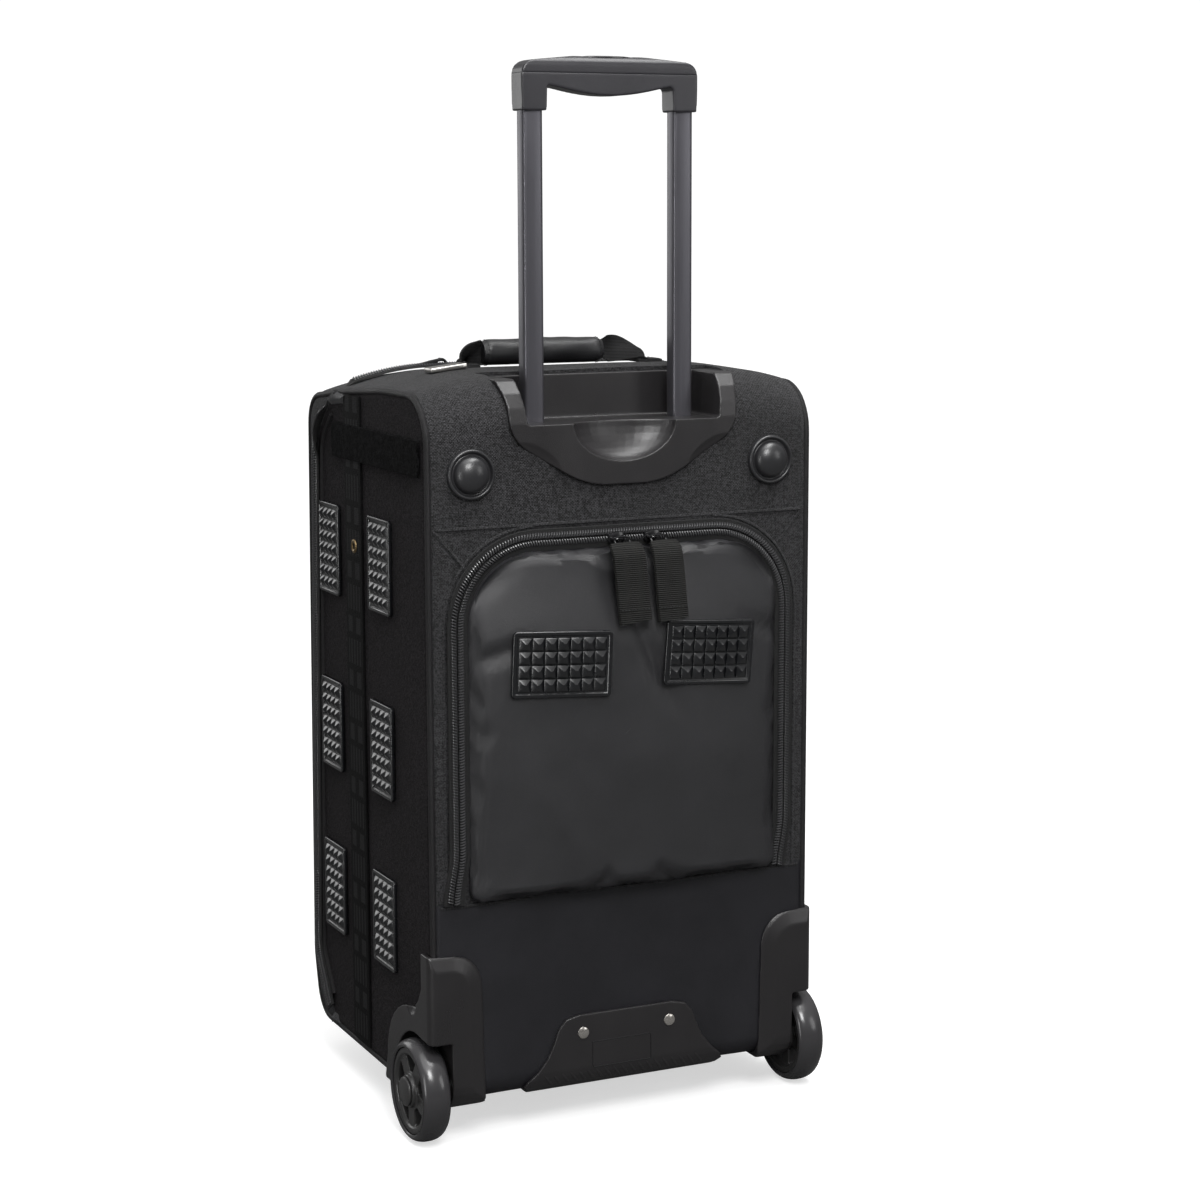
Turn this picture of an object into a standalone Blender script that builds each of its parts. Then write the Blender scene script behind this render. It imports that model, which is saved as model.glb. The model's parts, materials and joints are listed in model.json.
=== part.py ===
"""Two-wheeled upright trolley bag with a telescopic handle, as separate sub-parts.

Metres, +Z up. The bag stands on Z = 0, the handle and wheels are at its back (+Y),
the zip-round lid is at its front (-Y), and X runs across it. The origin is at the
centre of the whole object's footprint.
"""

import math

import bmesh
import bpy
from mathutils import Matrix, Vector

# Driving dimensions ---------------------------------------------------------------
WHEEL_R = 0.042              # 84 mm luggage wheels
WHEEL_HALF = 0.0118          # half the tyre's width
WHEEL_X = 0.1705             # middle of each wheel
REAR_Y = 0.117               # depths are counted from this line, just inside the back panel
AXLE_Y = REAR_Y - 0.014
WELL_X = 0.1548              # inner wall of each wheel housing
WELL_R = 0.0470
GUARD_X = 0.1738             # outer side of each wheel housing
GUARD_T = 0.0062             # how far the housing stands off the bag
HUB_RIM_R = 0.0350
HALF_W = 0.169               # flat side of the bag
FLOOR_GAP = 0.034            # under the bag
TOP_Z = 0.618
BACK_Y = REAR_Y + 0.0126     # back panel
FRONT_LOW_Y = REAR_Y - 0.276
FRONT_TOP_Y = REAR_Y - 0.262
WALL = 0.005                 # padded fabric wall
LID_WALL = 0.004
BODY_EDGE = 0.009            # rounding where the sides meet the rest
GAP = 0.0003                 # between pieces that touch

TUBE_X = 0.0656              # trolley tubes
TUBE_Y = REAR_Y - 0.020
TUBE_W = 0.0170
TUBE_D = 0.0145
TUBE_WALL = 0.0013
SLEEVE_GAP = 0.0005
CUP_FLOOR_Z = 0.577
CUP_UNDER_Z = 0.562
SOCKET_Z = 0.8195            # underside of the grip's sockets
GRIP_TOP_Z = 0.862
PARTING_Z = 0.8485
GRIP_HALF = 0.0765
GRIP_DEPTH = 0.0215

SEAM_Z = 0.198               # lower seam of the back, where the pocket flap hinges
POCKET_HALF = 0.1375
POCKET_TOP_Z = 0.479
POCKET_R = 0.058
POCKET_DEPTH = 0.0254
POCKET_EDGE = 0.0085         # rounding round the flap
ZIP_T = 0.0030

PAD_W = 0.050                # moulded side pads
PAD_H = 0.078
PAD_T = 0.005
PAD_ROWS = (0.163, 0.307, 0.459)
PAD_COLUMNS = (REAR_Y - 0.210, REAR_Y - 0.089)
BACK_PAD_W = 0.083
BACK_PAD_H = 0.053
BACK_PAD_T = 0.0035

MATERIALS = {
    "weave_fabric": ((0.020, 0.020, 0.022), 0.85, 0.0),
    "coated_fabric": ((0.030, 0.030, 0.033), 0.55, 0.0),
    "webbing": ((0.010, 0.010, 0.011), 0.80, 0.0),
    "board": ((0.060, 0.060, 0.060), 0.70, 0.0),
    "plastic": ((0.036, 0.035, 0.037), 0.55, 0.0),
    "gloss_plastic": ((0.012, 0.012, 0.013), 0.20, 0.0),
    "grip_plastic": ((0.034, 0.034, 0.037), 0.40, 0.0),
    "tube_metal": ((0.070, 0.070, 0.076), 0.35, 0.8),
    "pad_rubber": ((0.022, 0.024, 0.027), 0.45, 0.0),
    "tyre": ((0.008, 0.008, 0.008), 0.15, 0.0),
    "nickel": ((0.62, 0.60, 0.57), 0.25, 1.0),
    "steel": ((0.55, 0.55, 0.56), 0.30, 1.0),
    "leather": ((0.012, 0.012, 0.013), 0.40, 0.0),
}

AXES = {
    "X": Matrix(((0, 0, 1, 0), (1, 0, 0, 0), (0, 1, 0, 0), (0, 0, 0, 1))),
    "Y": Matrix(((1, 0, 0, 0), (0, 0, -1, 0), (0, 1, 0, 0), (0, 0, 0, 1))),
    "Z": Matrix.Identity(4),
}
SIDES = (("left", -1), ("right", 1))
FLAT_ANGLE = math.radians(0.2)


# Scene and helpers ----------------------------------------------------------------
def clear_scene():
    for obj in list(bpy.data.objects):
        bpy.data.objects.remove(obj, do_unlink=True)


def new_collection(name):
    found = bpy.data.collections.new(name)
    bpy.context.scene.collection.children.link(found)
    return found


def material(name):
    found = bpy.data.materials.get(name)
    if found:
        return found
    colour, roughness, metallic = MATERIALS[name]
    found = bpy.data.materials.new(name)
    found.use_nodes = True
    shader = found.node_tree.nodes["Principled BSDF"]
    shader.inputs["Base Color"].default_value = (*colour, 1.0)
    shader.inputs["Roughness"].default_value = roughness
    shader.inputs["Metallic"].default_value = metallic
    return found


def tidy(mesh):
    """Weld, join flat triangles into whole faces, and turn every face outwards."""
    work = bmesh.new()
    work.from_mesh(mesh)
    bmesh.ops.remove_doubles(work, verts=work.verts, dist=0.000002)
    bmesh.ops.dissolve_limit(work, angle_limit=FLAT_ANGLE, verts=work.verts, edges=work.edges)
    bmesh.ops.recalc_face_normals(work, faces=work.faces)
    work.to_mesh(mesh)
    work.free()


def add_mesh(name, mesh, slot):
    obj = bpy.data.objects.new(name, mesh)
    if slot:
        mesh.materials.clear()
        mesh.materials.append(material(slot))
        PARTS.objects.link(obj)
    else:
        obj.hide_render = True
        obj.display_type = "WIRE"
        CUTTERS.objects.link(obj)
    return obj


def meshed(curve_object, name, slot):
    """The curve's own mesh, welded, in place of the curve."""
    bpy.context.scene.collection.objects.link(curve_object)
    bpy.context.view_layer.update()
    graph = bpy.context.evaluated_depsgraph_get()
    mesh = bpy.data.meshes.new_from_object(curve_object.evaluated_get(graph))
    mesh.transform(curve_object.matrix_world)
    bpy.data.objects.remove(curve_object)
    tidy(mesh)
    mesh.name = name
    return add_mesh(name, mesh, slot)


def slab(name, slot, outline, low, high, axis):
    """A closed outline in the plane across an axis, extruded from low to high along it."""
    curve = bpy.data.curves.new(name, "CURVE")
    curve.dimensions = "2D"
    curve.fill_mode = "BOTH"
    curve.extrude = abs(high - low) / 2
    spline = curve.splines.new("POLY")
    spline.points.add(len(outline) - 1)
    for point, (a, b) in zip(spline.points, outline):
        point.co = (a, b, 0, 1)
    spline.use_cyclic_u = True
    obj = bpy.data.objects.new(name, curve)
    shift = {"X": (1, 0, 0), "Y": (0, 1, 0), "Z": (0, 0, 1)}[axis]
    obj.matrix_world = Matrix.Translation(Vector(shift) * (low + high) / 2) @ AXES[axis]
    return meshed(obj, name, slot)


def block(name, slot, low, high):
    bpy.ops.mesh.primitive_cube_add(size=1)
    obj = bpy.context.object
    mesh = obj.data
    size = Vector(high) - Vector(low)
    place = Matrix.Translation((Vector(low) + Vector(high)) / 2)
    mesh.transform(place @ Matrix.Diagonal((*size, 1)))
    bpy.data.objects.remove(obj)
    return add_mesh(name, mesh, slot)


def rod(name, slot, centre, radius, length, axis, steps=24, squash=1.0):
    """A cylinder about an axis; squash flattens it along Y."""
    bpy.ops.mesh.primitive_cylinder_add(vertices=steps, radius=radius, depth=length)
    obj = bpy.context.object
    mesh = obj.data
    mesh.transform(Matrix.Translation(Vector(centre)) @ AXES[axis] @ Matrix.Diagonal((1, squash, 1, 1)))
    bpy.data.objects.remove(obj)
    tidy(mesh)
    return add_mesh(name, mesh, slot)


def ball(name, centre, radii, turn=Matrix.Identity(4), steps=32):
    """A cutter of ellipsoid shape."""
    bpy.ops.mesh.primitive_uv_sphere_add(segments=steps, ring_count=steps // 2, radius=1)
    obj = bpy.context.object
    mesh = obj.data
    mesh.transform(Matrix.Translation(Vector(centre)) @ turn @ Matrix.Diagonal((*radii, 1)))
    bpy.data.objects.remove(obj)
    return add_mesh(name, mesh, None)


def turned(name, slot, profile, place, steps=32, closed=False):
    """A profile of (radius, height) points, given down its outer side, turned about local Z."""
    mesh = bpy.data.meshes.new(name)
    points = [(radius, 0, height) for radius, height in profile]
    edges = [(i, i + 1) for i in range(len(points) - 1)]
    if closed:
        edges.append((len(points) - 1, 0))
    mesh.from_pydata(points, edges, [])
    obj = add_mesh(name, mesh, slot)
    screw = obj.modifiers.new("turn", "SCREW")
    screw.steps = steps
    screw.render_steps = steps
    screw.use_merge_vertices = True
    screw.merge_threshold = 0.00001
    screw.use_smooth_shade = True
    obj.matrix_world = place
    return obj


def boolean(obj, other, operation):
    change = obj.modifiers.new(operation.lower(), "BOOLEAN")
    change.operation = operation
    change.object = other
    change.solver = "EXACT"
    return obj


def cut(obj, *cutters):
    for cutter in cutters:
        boolean(obj, cutter, "DIFFERENCE")
    return obj


def join(obj, *others):
    for other in others:
        boolean(obj, other, "UNION")
    return obj


def keep(obj, other):
    return boolean(obj, other, "INTERSECT")


def soften(obj, width, segments=2, angle=50):
    bevel = obj.modifiers.new("bevel", "BEVEL")
    bevel.width = width
    bevel.segments = segments
    bevel.limit_method = "ANGLE"
    bevel.angle_limit = math.radians(angle)
    bevel.use_clamp_overlap = True
    return obj


def hinge_at(obj, point):
    """Moves the object's origin to a point without moving its shape."""
    obj.data.transform(Matrix.Translation(-Vector(point)))
    obj.matrix_world = Matrix.Translation(Vector(point))
    return obj


def under(empty_name, point, *objects):
    """Parents the objects of one moving piece to an empty on its joint."""
    empty = bpy.data.objects.new(empty_name, None)
    empty.empty_display_size = 0.02
    empty.matrix_world = Matrix.Translation(Vector(point))
    PARTS.objects.link(empty)
    bpy.context.view_layer.update()
    for obj in objects:
        obj.parent = empty
        obj.matrix_parent_inverse = empty.matrix_world.inverted()
    return empty


# Outlines -------------------------------------------------------------------------
def rounded(corners, segments=5):
    """A closed outline: each corner is (a, b, radius), rounded by an arc."""
    outline = []
    count = len(corners)
    for i, (a, b, radius) in enumerate(corners):
        here = Vector((a, b))
        if radius <= 0:
            outline.append((a, b))
            continue
        before = (Vector(corners[i - 1][:2]) - here).normalized()
        after = (Vector(corners[(i + 1) % count][:2]) - here).normalized()
        half = before.angle(after) / 2
        centre = here + (before + after).normalized() * (radius / math.sin(half))
        start = here + before * (radius / math.tan(half)) - centre
        sweep = math.pi - 2 * half
        if before.x * after.y - before.y * after.x > 0:
            sweep = -sweep
        for k in range(segments + 1):
            turn = Matrix.Rotation(sweep * k / segments, 2)
            outline.append(tuple(centre + turn @ start))
    return outline


def grown(outline, distance):
    """The closed outline moved outwards by a distance."""
    count = len(outline)
    area = sum(
        outline[i - 1][0] * outline[i][1] - outline[i][0] * outline[i - 1][1] for i in range(count)
    )
    sign = 1 if area > 0 else -1
    moved = []
    for i in range(count):
        here = Vector(outline[i])
        into = (here - Vector(outline[i - 1])).normalized()
        out = (Vector(outline[(i + 1) % count]) - here).normalized()
        normal_a = Vector((into.y, -into.x)) * sign
        normal_b = Vector((out.y, -out.x)) * sign
        middle = normal_a + normal_b
        moved.append(tuple(here + middle * (2 * distance / middle.length_squared)))
    return moved


def ribbon(path, thickness):
    """The closed outline of a strip laid along a path."""
    left, right = [], []
    for i, point in enumerate(path):
        before = Vector(path[max(i - 1, 0)])
        after = Vector(path[min(i + 1, len(path) - 1)])
        along = (after - before).normalized()
        across = Vector((-along.y, along.x)) * thickness / 2
        left.append(tuple(Vector(point) + across))
        right.append(tuple(Vector(point) - across))
    return left + right[::-1]


def arc(centre, radius, start, end, segments):
    """Points on an arc, in degrees."""
    points = []
    for k in range(segments + 1):
        angle = math.radians(start + (end - start) * k / segments)
        points.append((centre[0] + radius * math.cos(angle), centre[1] + radius * math.sin(angle)))
    return points


def mirrored(outline, side):
    return [(a * side, b) for a, b in outline]


def span(a, b):
    return min(a, b), max(a, b)


def bag_profile():
    """The whole bag seen from its side, as (Y, Z)."""
    return rounded([
        (BACK_Y, FLOOR_GAP, 0.016),
        (BACK_Y, TOP_Z - 0.003, 0.038),
        (REAR_Y - 0.090, TOP_Z, 0),
        (FRONT_TOP_Y, TOP_Z - 0.012, 0.062),
        (FRONT_LOW_Y, 0.088, 0.035),
        (REAR_Y - 0.262, FLOOR_GAP, 0.030),
    ])


def opening_line():
    """The line of the main zip seen from the side, from below the bag to above it."""
    return rounded([
        (REAR_Y - 0.2225, FLOOR_GAP - 0.004, 0),
        (REAR_Y - 0.2225, FLOOR_GAP + 0.006, 0),
        (REAR_Y - 0.2570, 0.094, 0.030),
        (REAR_Y - 0.2400, 0.560, 0.055),
        (REAR_Y - 0.1820, TOP_Z - 0.016, 0.010),
        (REAR_Y - 0.1820, TOP_Z + 0.012, 0),
    ], 5)


# Bag body -------------------------------------------------------------------------
def behind_line(name, shift, extra=0.030):
    """A cutter that holds everything in front of the zip line, moved by shift."""
    line = [(y + shift, z) for y, z in opening_line()]
    far = FRONT_LOW_Y - extra
    outline = line + [(far, TOP_Z + 0.012), (far, FLOOR_GAP - 0.004)]
    return slab(name, None, outline, -HALF_W - extra, HALF_W + extra, "X")


def guard_notch(name, side, growth):
    """The room taken out of the bag's lower back corner for a wheel housing."""
    a, b = span(side * (0.1430 - growth), side * 0.25)
    low = (a, REAR_Y - 0.0885 - growth, 0)
    high = (b, BACK_Y + 0.05, 0.1085 + growth)
    return block(name, None, low, high)


def bag_shell():
    """The bag's hollow body: back, sides, top and bottom, open at the front."""
    body = slab("bag_shell", "weave_fabric", bag_profile(), -HALF_W, HALF_W, "X")
    soften(body, BODY_EDGE, 3)
    hollow = slab("bag_hollow", None, grown(bag_profile(), -WALL), WALL - HALF_W, HALF_W - WALL, "X")
    for word, side in SIDES:
        cut(hollow, guard_notch("hollow_notch_" + word, side, WALL))
    cut(body, hollow, behind_line("lid_side", GAP))
    for word, side in SIDES:
        cut(body, guard_notch("wheel_notch_" + word, side, 0))
    cut(body, cup_room())


def front_lid():
    """The front panel and its gusset, a shallow pan that zips round the opening."""
    line = [(y - GAP, z) for y, z in opening_line()]
    reach = [(BACK_Y + 0.03, TOP_Z + 0.012), (BACK_Y + 0.03, FLOOR_GAP - 0.004)]
    lid = slab("front_lid", "weave_fabric", bag_profile(), -HALF_W, HALF_W, "X")
    soften(lid, BODY_EDGE, 3)
    back = slab("bag_side", None, line + reach, -HALF_W - 0.03, HALF_W + 0.03, "X")
    hollow_half = HALF_W - LID_WALL
    inside = slab("lid_hollow", None, grown(bag_profile(), -LID_WALL), -hollow_half, hollow_half, "X")
    cut(lid, back, inside)
    hinge_at(lid, (0, REAR_Y - 0.2225, FLOOR_GAP))


def back_board():
    """The stiffener sewn inside the bag, between the tubes and the main compartment."""
    board = block("back_board", "board", (-0.135, TUBE_Y - 0.0145, 0.115), (0.135, TUBE_Y - 0.0115, 0.525))
    soften(board, 0.0005, 1)


def side_pads():
    """The moulded rubber pads on each side of the bag, in two columns of three."""
    for word, side in SIDES:
        a, b = span(side * (HALF_W + GAP), side * (HALF_W + GAP + PAD_T))
        number = 0
        for row in PAD_ROWS:
            for column in PAD_COLUMNS:
                number += 1
                low = (a, column - PAD_W / 2, row - PAD_H / 2)
                high = (b, column + PAD_W / 2, row + PAD_H / 2)
                pad = block(f"side_pad_{word}_{number}", "pad_rubber", low, high)
                soften(pad, 0.0012, 1)


# Back of the bag ------------------------------------------------------------------
def dome_studs():
    for word, side in SIDES:
        place = Matrix.Translation((side * 0.132, BACK_Y + GAP, 0.541)) @ Matrix.Rotation(-math.pi / 2, 4, "X")
        dome = arc((0, 0), 1, 90, 0, 6)
        profile = [(0.0143 * x, 0.0025 + 0.0075 * y) for x, y in dome]
        profile += [(0.0160, 0.0018), (0.0175, 0.0034), (0.0195, 0.0030), (0.0200, 0.0), (0, 0)]
        turned("dome_stud_" + word, "gloss_plastic", profile, place)


def base_plate():
    """The kick plate between the wheels, wrapped under the bag's lower back edge."""
    half = [
        (0.0430, 0.0945), (0.0540, 0.0920), (0.0605, 0.0850), (0.0650, 0.0730),
        (0.0700, 0.0620), (0.0790, 0.0510), (0.0880, 0.0430), (0.0905, 0.0380), (0.0840, 0.0300),
    ]
    outline = mirrored(half, 1) + mirrored(half, -1)[::-1]
    plate = slab("base_plate", "plastic", grown(bag_profile(), 0.0038), -0.10, 0.10, "X")
    shape = slab("base_plate_shape", None, outline, BACK_Y - 0.022, BACK_Y + 0.02, "Y")
    inside = slab("base_plate_inside", None, grown(bag_profile(), GAP), -0.11, 0.11, "X")
    keep(plate, shape)
    cut(plate, inside)
    for word, side in SIDES:
        cut(plate, rod("rivet_hole_" + word, None, (side * 0.0392, BACK_Y, 0.0794), 0.0030, 0.03, "Y"))
        facing_back = Matrix.Rotation(-math.pi / 2, 4, "X")
        place = Matrix.Translation((side * 0.0392, BACK_Y + 0.0041, 0.0794)) @ facing_back
        head = [(0, 0.0016), (0.0030, 0.0013), (0.0046, 0.0006), (0.0050, 0.0)]
        shank = [(0.0027, 0.0), (0.0027, -0.0036), (0, -0.0036)]
        turned("base_rivet_" + word, "nickel", head + shank, place, 24)


def cup_outline(growth=0.0):
    """The shield shape of the trolley cup, as (X, Z)."""
    corners = [
        (0.034, 0.5275, 0.075), (0.0985, 0.5660, 0.030), (0.1010, 0.5960, 0.020),
        (0.1080, TOP_Z + 0.006, 0), (-0.1080, TOP_Z + 0.006, 0),
        (-0.1010, 0.5960, 0.020), (-0.0985, 0.5660, 0.030), (-0.034, 0.5275, 0.075),
    ]
    return grown(rounded(corners, 6), growth)


def cup_back(name, growth):
    """The space in front of the cup's outer face that the cup doesn't fill."""
    deep = REAR_Y - 0.0450 - growth
    shallow = REAR_Y - 0.0095 - growth
    under_floor = CUP_UNDER_Z - growth
    outline = [
        (deep, 0.70), (deep, under_floor), (shallow, under_floor), (shallow, 0.45),
        (FRONT_LOW_Y, 0.45), (FRONT_LOW_Y, 0.70),
    ]
    return slab(name, None, outline, -0.13, 0.13, "X")


def cup_room():
    """The hole in the bag that the cup sits in."""
    room = slab("cup_room", None, cup_outline(GAP), REAR_Y - 0.06, BACK_Y + 0.02, "Y")
    cut(room, cup_back("cup_room_back", GAP))
    return room


def trolley_cup():
    """The moulded housing round the handle's tubes, with its grip recess and finger dish."""
    cup = slab("trolley_cup", "plastic", grown(bag_profile(), 0.0032), -0.12, 0.12, "X")
    keep(cup, slab("cup_shape", None, cup_outline(), REAR_Y - 0.06, BACK_Y + 0.02, "Y"))
    cut(cup, cup_back("cup_behind", 0))
    cut(cup, block("cup_above", None, (-0.13, REAR_Y - 0.07, 0.6125), (0.13, BACK_Y + 0.03, 0.66)))
    recess = rounded([
        (0.0840, CUP_FLOOR_Z, 0.003), (0.0915, 0.64, 0), (-0.0915, 0.64, 0), (-0.0840, CUP_FLOOR_Z, 0.003),
    ])
    cut(cup, slab("cup_recess", None, recess, REAR_Y - 0.0410, BACK_Y + 0.03, "Y"))
    cut(cup, ball("cup_dish", (0, BACK_Y + 0.0032, CUP_FLOOR_Z + 0.001), (0.045, 0.0190, 0.032)))
    for word, side in SIDES:
        lean = Matrix.Rotation(side * math.radians(-33), 4, "Y")
        place = (side * 0.0735, BACK_Y + 0.0062, 0.5475)
        cut(cup, ball("cup_scallop_" + word, place, (0.0260, 0.0050, 0.0080), lean, 24))
        hole = grown(tube_outline(side * TUBE_X), SLEEVE_GAP)
        cut(cup, slab("cup_tube_hole_" + word, None, hole, 0.55, 0.59, "Z"))


def corner_guards():
    """The moulded wheel housings on the bag's lower back corners."""
    for word, side in SIDES:
        name = "corner_guard_" + word
        a, b = span(side * 0.09, side * (GUARD_X + 0.01))
        guard = slab(name, "plastic", grown(bag_profile(), GUARD_T), a, b, "X")
        back = rounded([
            (0.1205, 0.0300, 0.009), (0.1210, 0.0640, 0.030), (0.1285, 0.1560, 0.024),
            (GUARD_X + 0.004, 0.1595, 0.003), (GUARD_X + 0.004, 0.0300, 0),
        ])
        keep(guard, slab(name + "_shape", None, mirrored(back, side), REAR_Y - 0.12, BACK_Y + 0.02, "Y"))
        deep = BACK_Y + GUARD_T + 0.0002
        plan = rounded([
            (0.08, REAR_Y - 0.13, 0), (GUARD_X, REAR_Y - 0.13, 0), (GUARD_X, deep, 0.008), (0.08, deep, 0),
        ])
        keep(guard, slab(name + "_plan", None, mirrored(plan, side), 0.0, 0.2, "Z"))
        keep(guard, slab(name + "_arm", None, guard_arm(), a - 0.02, b + 0.02, "X"))
        c, d = span(side * 0.04, side * (HALF_W + GAP))
        bag_room = slab(name + "_bag", None, grown(bag_profile(), GAP), c, d, "X")
        cut(bag_room, guard_notch(name + "_notch", side, -GAP))
        cut(guard, bag_room)
        c, d = span(side * WELL_X, side * 0.25)
        cut(guard, slab(name + "_well", None, wheel_well(), c, d, "X"))
        bore_at = (side * (WELL_X - 0.005), AXLE_Y, WHEEL_R)
        cut(guard, rod(name + "_bore", None, bore_at, 0.0043, 0.03, "X"))


def guard_arm():
    """The housing seen from the side: a strip up the back edge and an arm round the wheel."""
    front = REAR_Y - 0.0855
    strip = REAR_Y - 0.0010
    outline = [(BACK_Y + GUARD_T, 0.1600), (strip, 0.1600), (strip, 0.1300), (strip - 0.0070, 0.1180)]
    outline += [(strip - 0.0170, 0.1100)]
    outline += arc((REAR_Y - 0.0240, 0.0520), 0.0560, 88, 180, 8)
    outline += [(front, 0.0320), (front + 0.010, 0.0200), (BACK_Y + 0.02, 0.0200), (BACK_Y + 0.02, 0.1600)]
    return outline


def wheel_well():
    """The arch round the wheel, open below and behind, as (Y, Z)."""
    low_y = AXLE_Y - WELL_R * 0.80
    points = arc((AXLE_Y, WHEEL_R), WELL_R, 90, 205, 14)
    points += [(low_y, 0.0), (BACK_Y + 0.03, 0.0), (BACK_Y + 0.03, WHEEL_R + WELL_R - 0.004)]
    return points


def rear_pocket():
    """The pocket's flap, a pan that zips shut over the back panel, with its zip and pads."""
    outline = pocket_outline(0)
    back = BACK_Y + GAP
    flap = slab("pocket_flap", "coated_fabric", outline, back - 0.012, back + POCKET_DEPTH, "Y")
    soften(flap, POCKET_EDGE, 3)
    behind = block("pocket_behind", None, (-0.2, back - 0.02, 0.1), (0.2, back, 0.6))
    face = back + POCKET_DEPTH - 0.0042
    inside = slab("pocket_hollow", None, pocket_outline(-0.0045), back - 0.02, face, "Y")
    cut(flap, behind, inside)
    hinge_at(flap, (0, back, SEAM_Z))
    face = back + POCKET_DEPTH + GAP
    for word, side in SIDES:
        centre = side * 0.0651
        low = (centre - BACK_PAD_W / 2, face, 0.390 - BACK_PAD_H / 2)
        high = (centre + BACK_PAD_W / 2, face + BACK_PAD_T, 0.390 + BACK_PAD_H / 2)
        pad = block("pocket_pad_" + word, "pad_rubber", low, high)
        soften(pad, 0.0012, 1)


def pocket_outline(growth):
    half = POCKET_HALF
    corners = [
        (-half, SEAM_Z + 0.0006, 0.011), (half, SEAM_Z + 0.0006, 0.011),
        (half, POCKET_TOP_Z, POCKET_R), (-half, POCKET_TOP_Z, POCKET_R),
    ]
    return grown(rounded(corners, 6), growth)


def pocket_sliders():
    """The two sliders of the pocket zip, and the webbing tabs that hang from them."""
    low_y = BACK_Y + GAP + ZIP_T + GAP
    slider_z = POCKET_TOP_Z + 0.0060
    for word, side, slider_x, tab_x, tab_half in (
        ("right", 1, 0.0100, 0.0106, 0.0148),
        ("left", -1, -0.0220, -0.0236, 0.0138),
    ):
        low = (slider_x - 0.0065, low_y, slider_z - 0.0045)
        high = (slider_x + 0.0065, low_y + 0.0040, slider_z + 0.0045)
        body = block("pocket_slider_" + word, "gloss_plastic", low, high)
        post = block("slider_post_" + word, None,
                     (slider_x - 0.0020, low_y + 0.0020, slider_z - 0.0020),
                     (slider_x + 0.0020, low_y + 0.0085, slider_z + 0.0020))
        join(body, post)
        soften(body, 0.0007, 1)
        pivot_y = low_y + 0.0105
        edge = (BACK_Y + GAP + POCKET_DEPTH - POCKET_EDGE, POCKET_TOP_Z - POCKET_EDGE)
        wrap = arc(edge, POCKET_EDGE + 0.0019, 60, 0, 3)
        path = [(pivot_y, slider_z), (pivot_y + 0.0060, slider_z - 0.0018)] + wrap
        path.append((wrap[-1][0], POCKET_TOP_Z - 0.0590))
        tab = slab("pull_tab_" + word, "webbing", ribbon(path, 0.0026), tab_x - tab_half, tab_x + tab_half, "X")
        hinge_at(tab, (tab_x, pivot_y, slider_z))


# Trolley handle -------------------------------------------------------------------
def tube_outline(centre_x):
    """A trolley tube's rounded section, as (X, Y)."""
    w, d, r = TUBE_W / 2, TUBE_D / 2, 0.0028
    corners = [(-w, -d, r), (w, -d, r), (w, d, r), (-w, d, r)]
    return [(centre_x + x, TUBE_Y + y) for x, y in rounded(corners, 3)]


def trolley_rails():
    """The fixed outer tubes inside the bag, and the block that ties their feet."""
    for word, side in SIDES:
        section = tube_outline(side * TUBE_X)
        outer = grown(section, SLEEVE_GAP + 0.0012)
        tube = slab("outer_tube_" + word, "tube_metal", outer, 0.0600, CUP_UNDER_Z - GAP, "Z")
        cut(tube, slab("outer_bore_" + word, None, grown(section, SLEEVE_GAP), 0.05, 0.58, "Z"))
    foot = block("tube_foot", "plastic", (-0.080, TUBE_Y - 0.0100, 0.0440), (0.080, TUBE_Y + 0.0100, 0.0597))
    soften(foot, 0.0015, 1)


def trolley_handle():
    parts = []
    for word, side in SIDES:
        section = tube_outline(side * TUBE_X)
        tube = slab("inner_tube_" + word, "tube_metal", section, 0.5050, 0.8360, "Z")
        cut(tube, slab("inner_bore_" + word, None, grown(section, -TUBE_WALL), 0.49, 0.85, "Z"))
        carrier = slab("lock_carrier_" + word, "plastic", grown(section, 0.0001), 0.4870, 0.5047, "Z")
        soften(carrier, 0.0006, 1)
        parts += [tube, carrier]
    parts += grip_shells()
    under("trolley_axis", (0, TUBE_Y, SOCKET_Z), *parts)


def grip_outline():
    """The grip and its two sockets, as (X, Z)."""
    half = [
        (0.0758, SOCKET_Z, 0), (GRIP_HALF, 0.8380, 0), (GRIP_HALF, GRIP_TOP_Z - 0.0045, 0.0110),
        (0.0300, GRIP_TOP_Z, 0), (-0.0300, GRIP_TOP_Z, 0), (-GRIP_HALF, GRIP_TOP_Z - 0.0045, 0.0110),
        (-GRIP_HALF, 0.8380, 0), (-0.0758, SOCKET_Z, 0), (-0.0553, SOCKET_Z, 0), (-0.0545, 0.8390, 0.0030),
    ]
    belly_half = 0.0505
    belly = []
    for k in range(1, 12):
        x = belly_half * (k / 6 - 1)
        belly.append((x, 0.8388 - 0.0074 * math.cos(math.pi / 2 * x / belly_half)))
    return rounded(half, 4) + belly + [(0.0545, 0.8390), (0.0553, SOCKET_Z)]


def grip_body(name, low_z, high_z):
    """The slice of the grip between two heights."""
    half_d = GRIP_DEPTH / 2
    body = slab(name, "grip_plastic", grip_outline(), TUBE_Y - half_d, TUBE_Y + half_d, "Y")
    section = rounded([
        (TUBE_Y - half_d, SOCKET_Z - 0.01, 0), (TUBE_Y + half_d, SOCKET_Z - 0.01, 0),
        (TUBE_Y + half_d, GRIP_TOP_Z, 0.0075), (TUBE_Y - half_d, GRIP_TOP_Z, 0.0075),
    ], 4)
    keep(body, slab(name + "_section", None, section, -0.10, 0.10, "X"))
    cut(body, block(name + "_below", None, (-0.2, TUBE_Y - 0.1, 0.7), (0.2, TUBE_Y + 0.1, low_z)))
    cut(body, block(name + "_above", None, (-0.2, TUBE_Y - 0.1, high_z), (0.2, TUBE_Y + 0.1, 0.95)))
    return body


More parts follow.
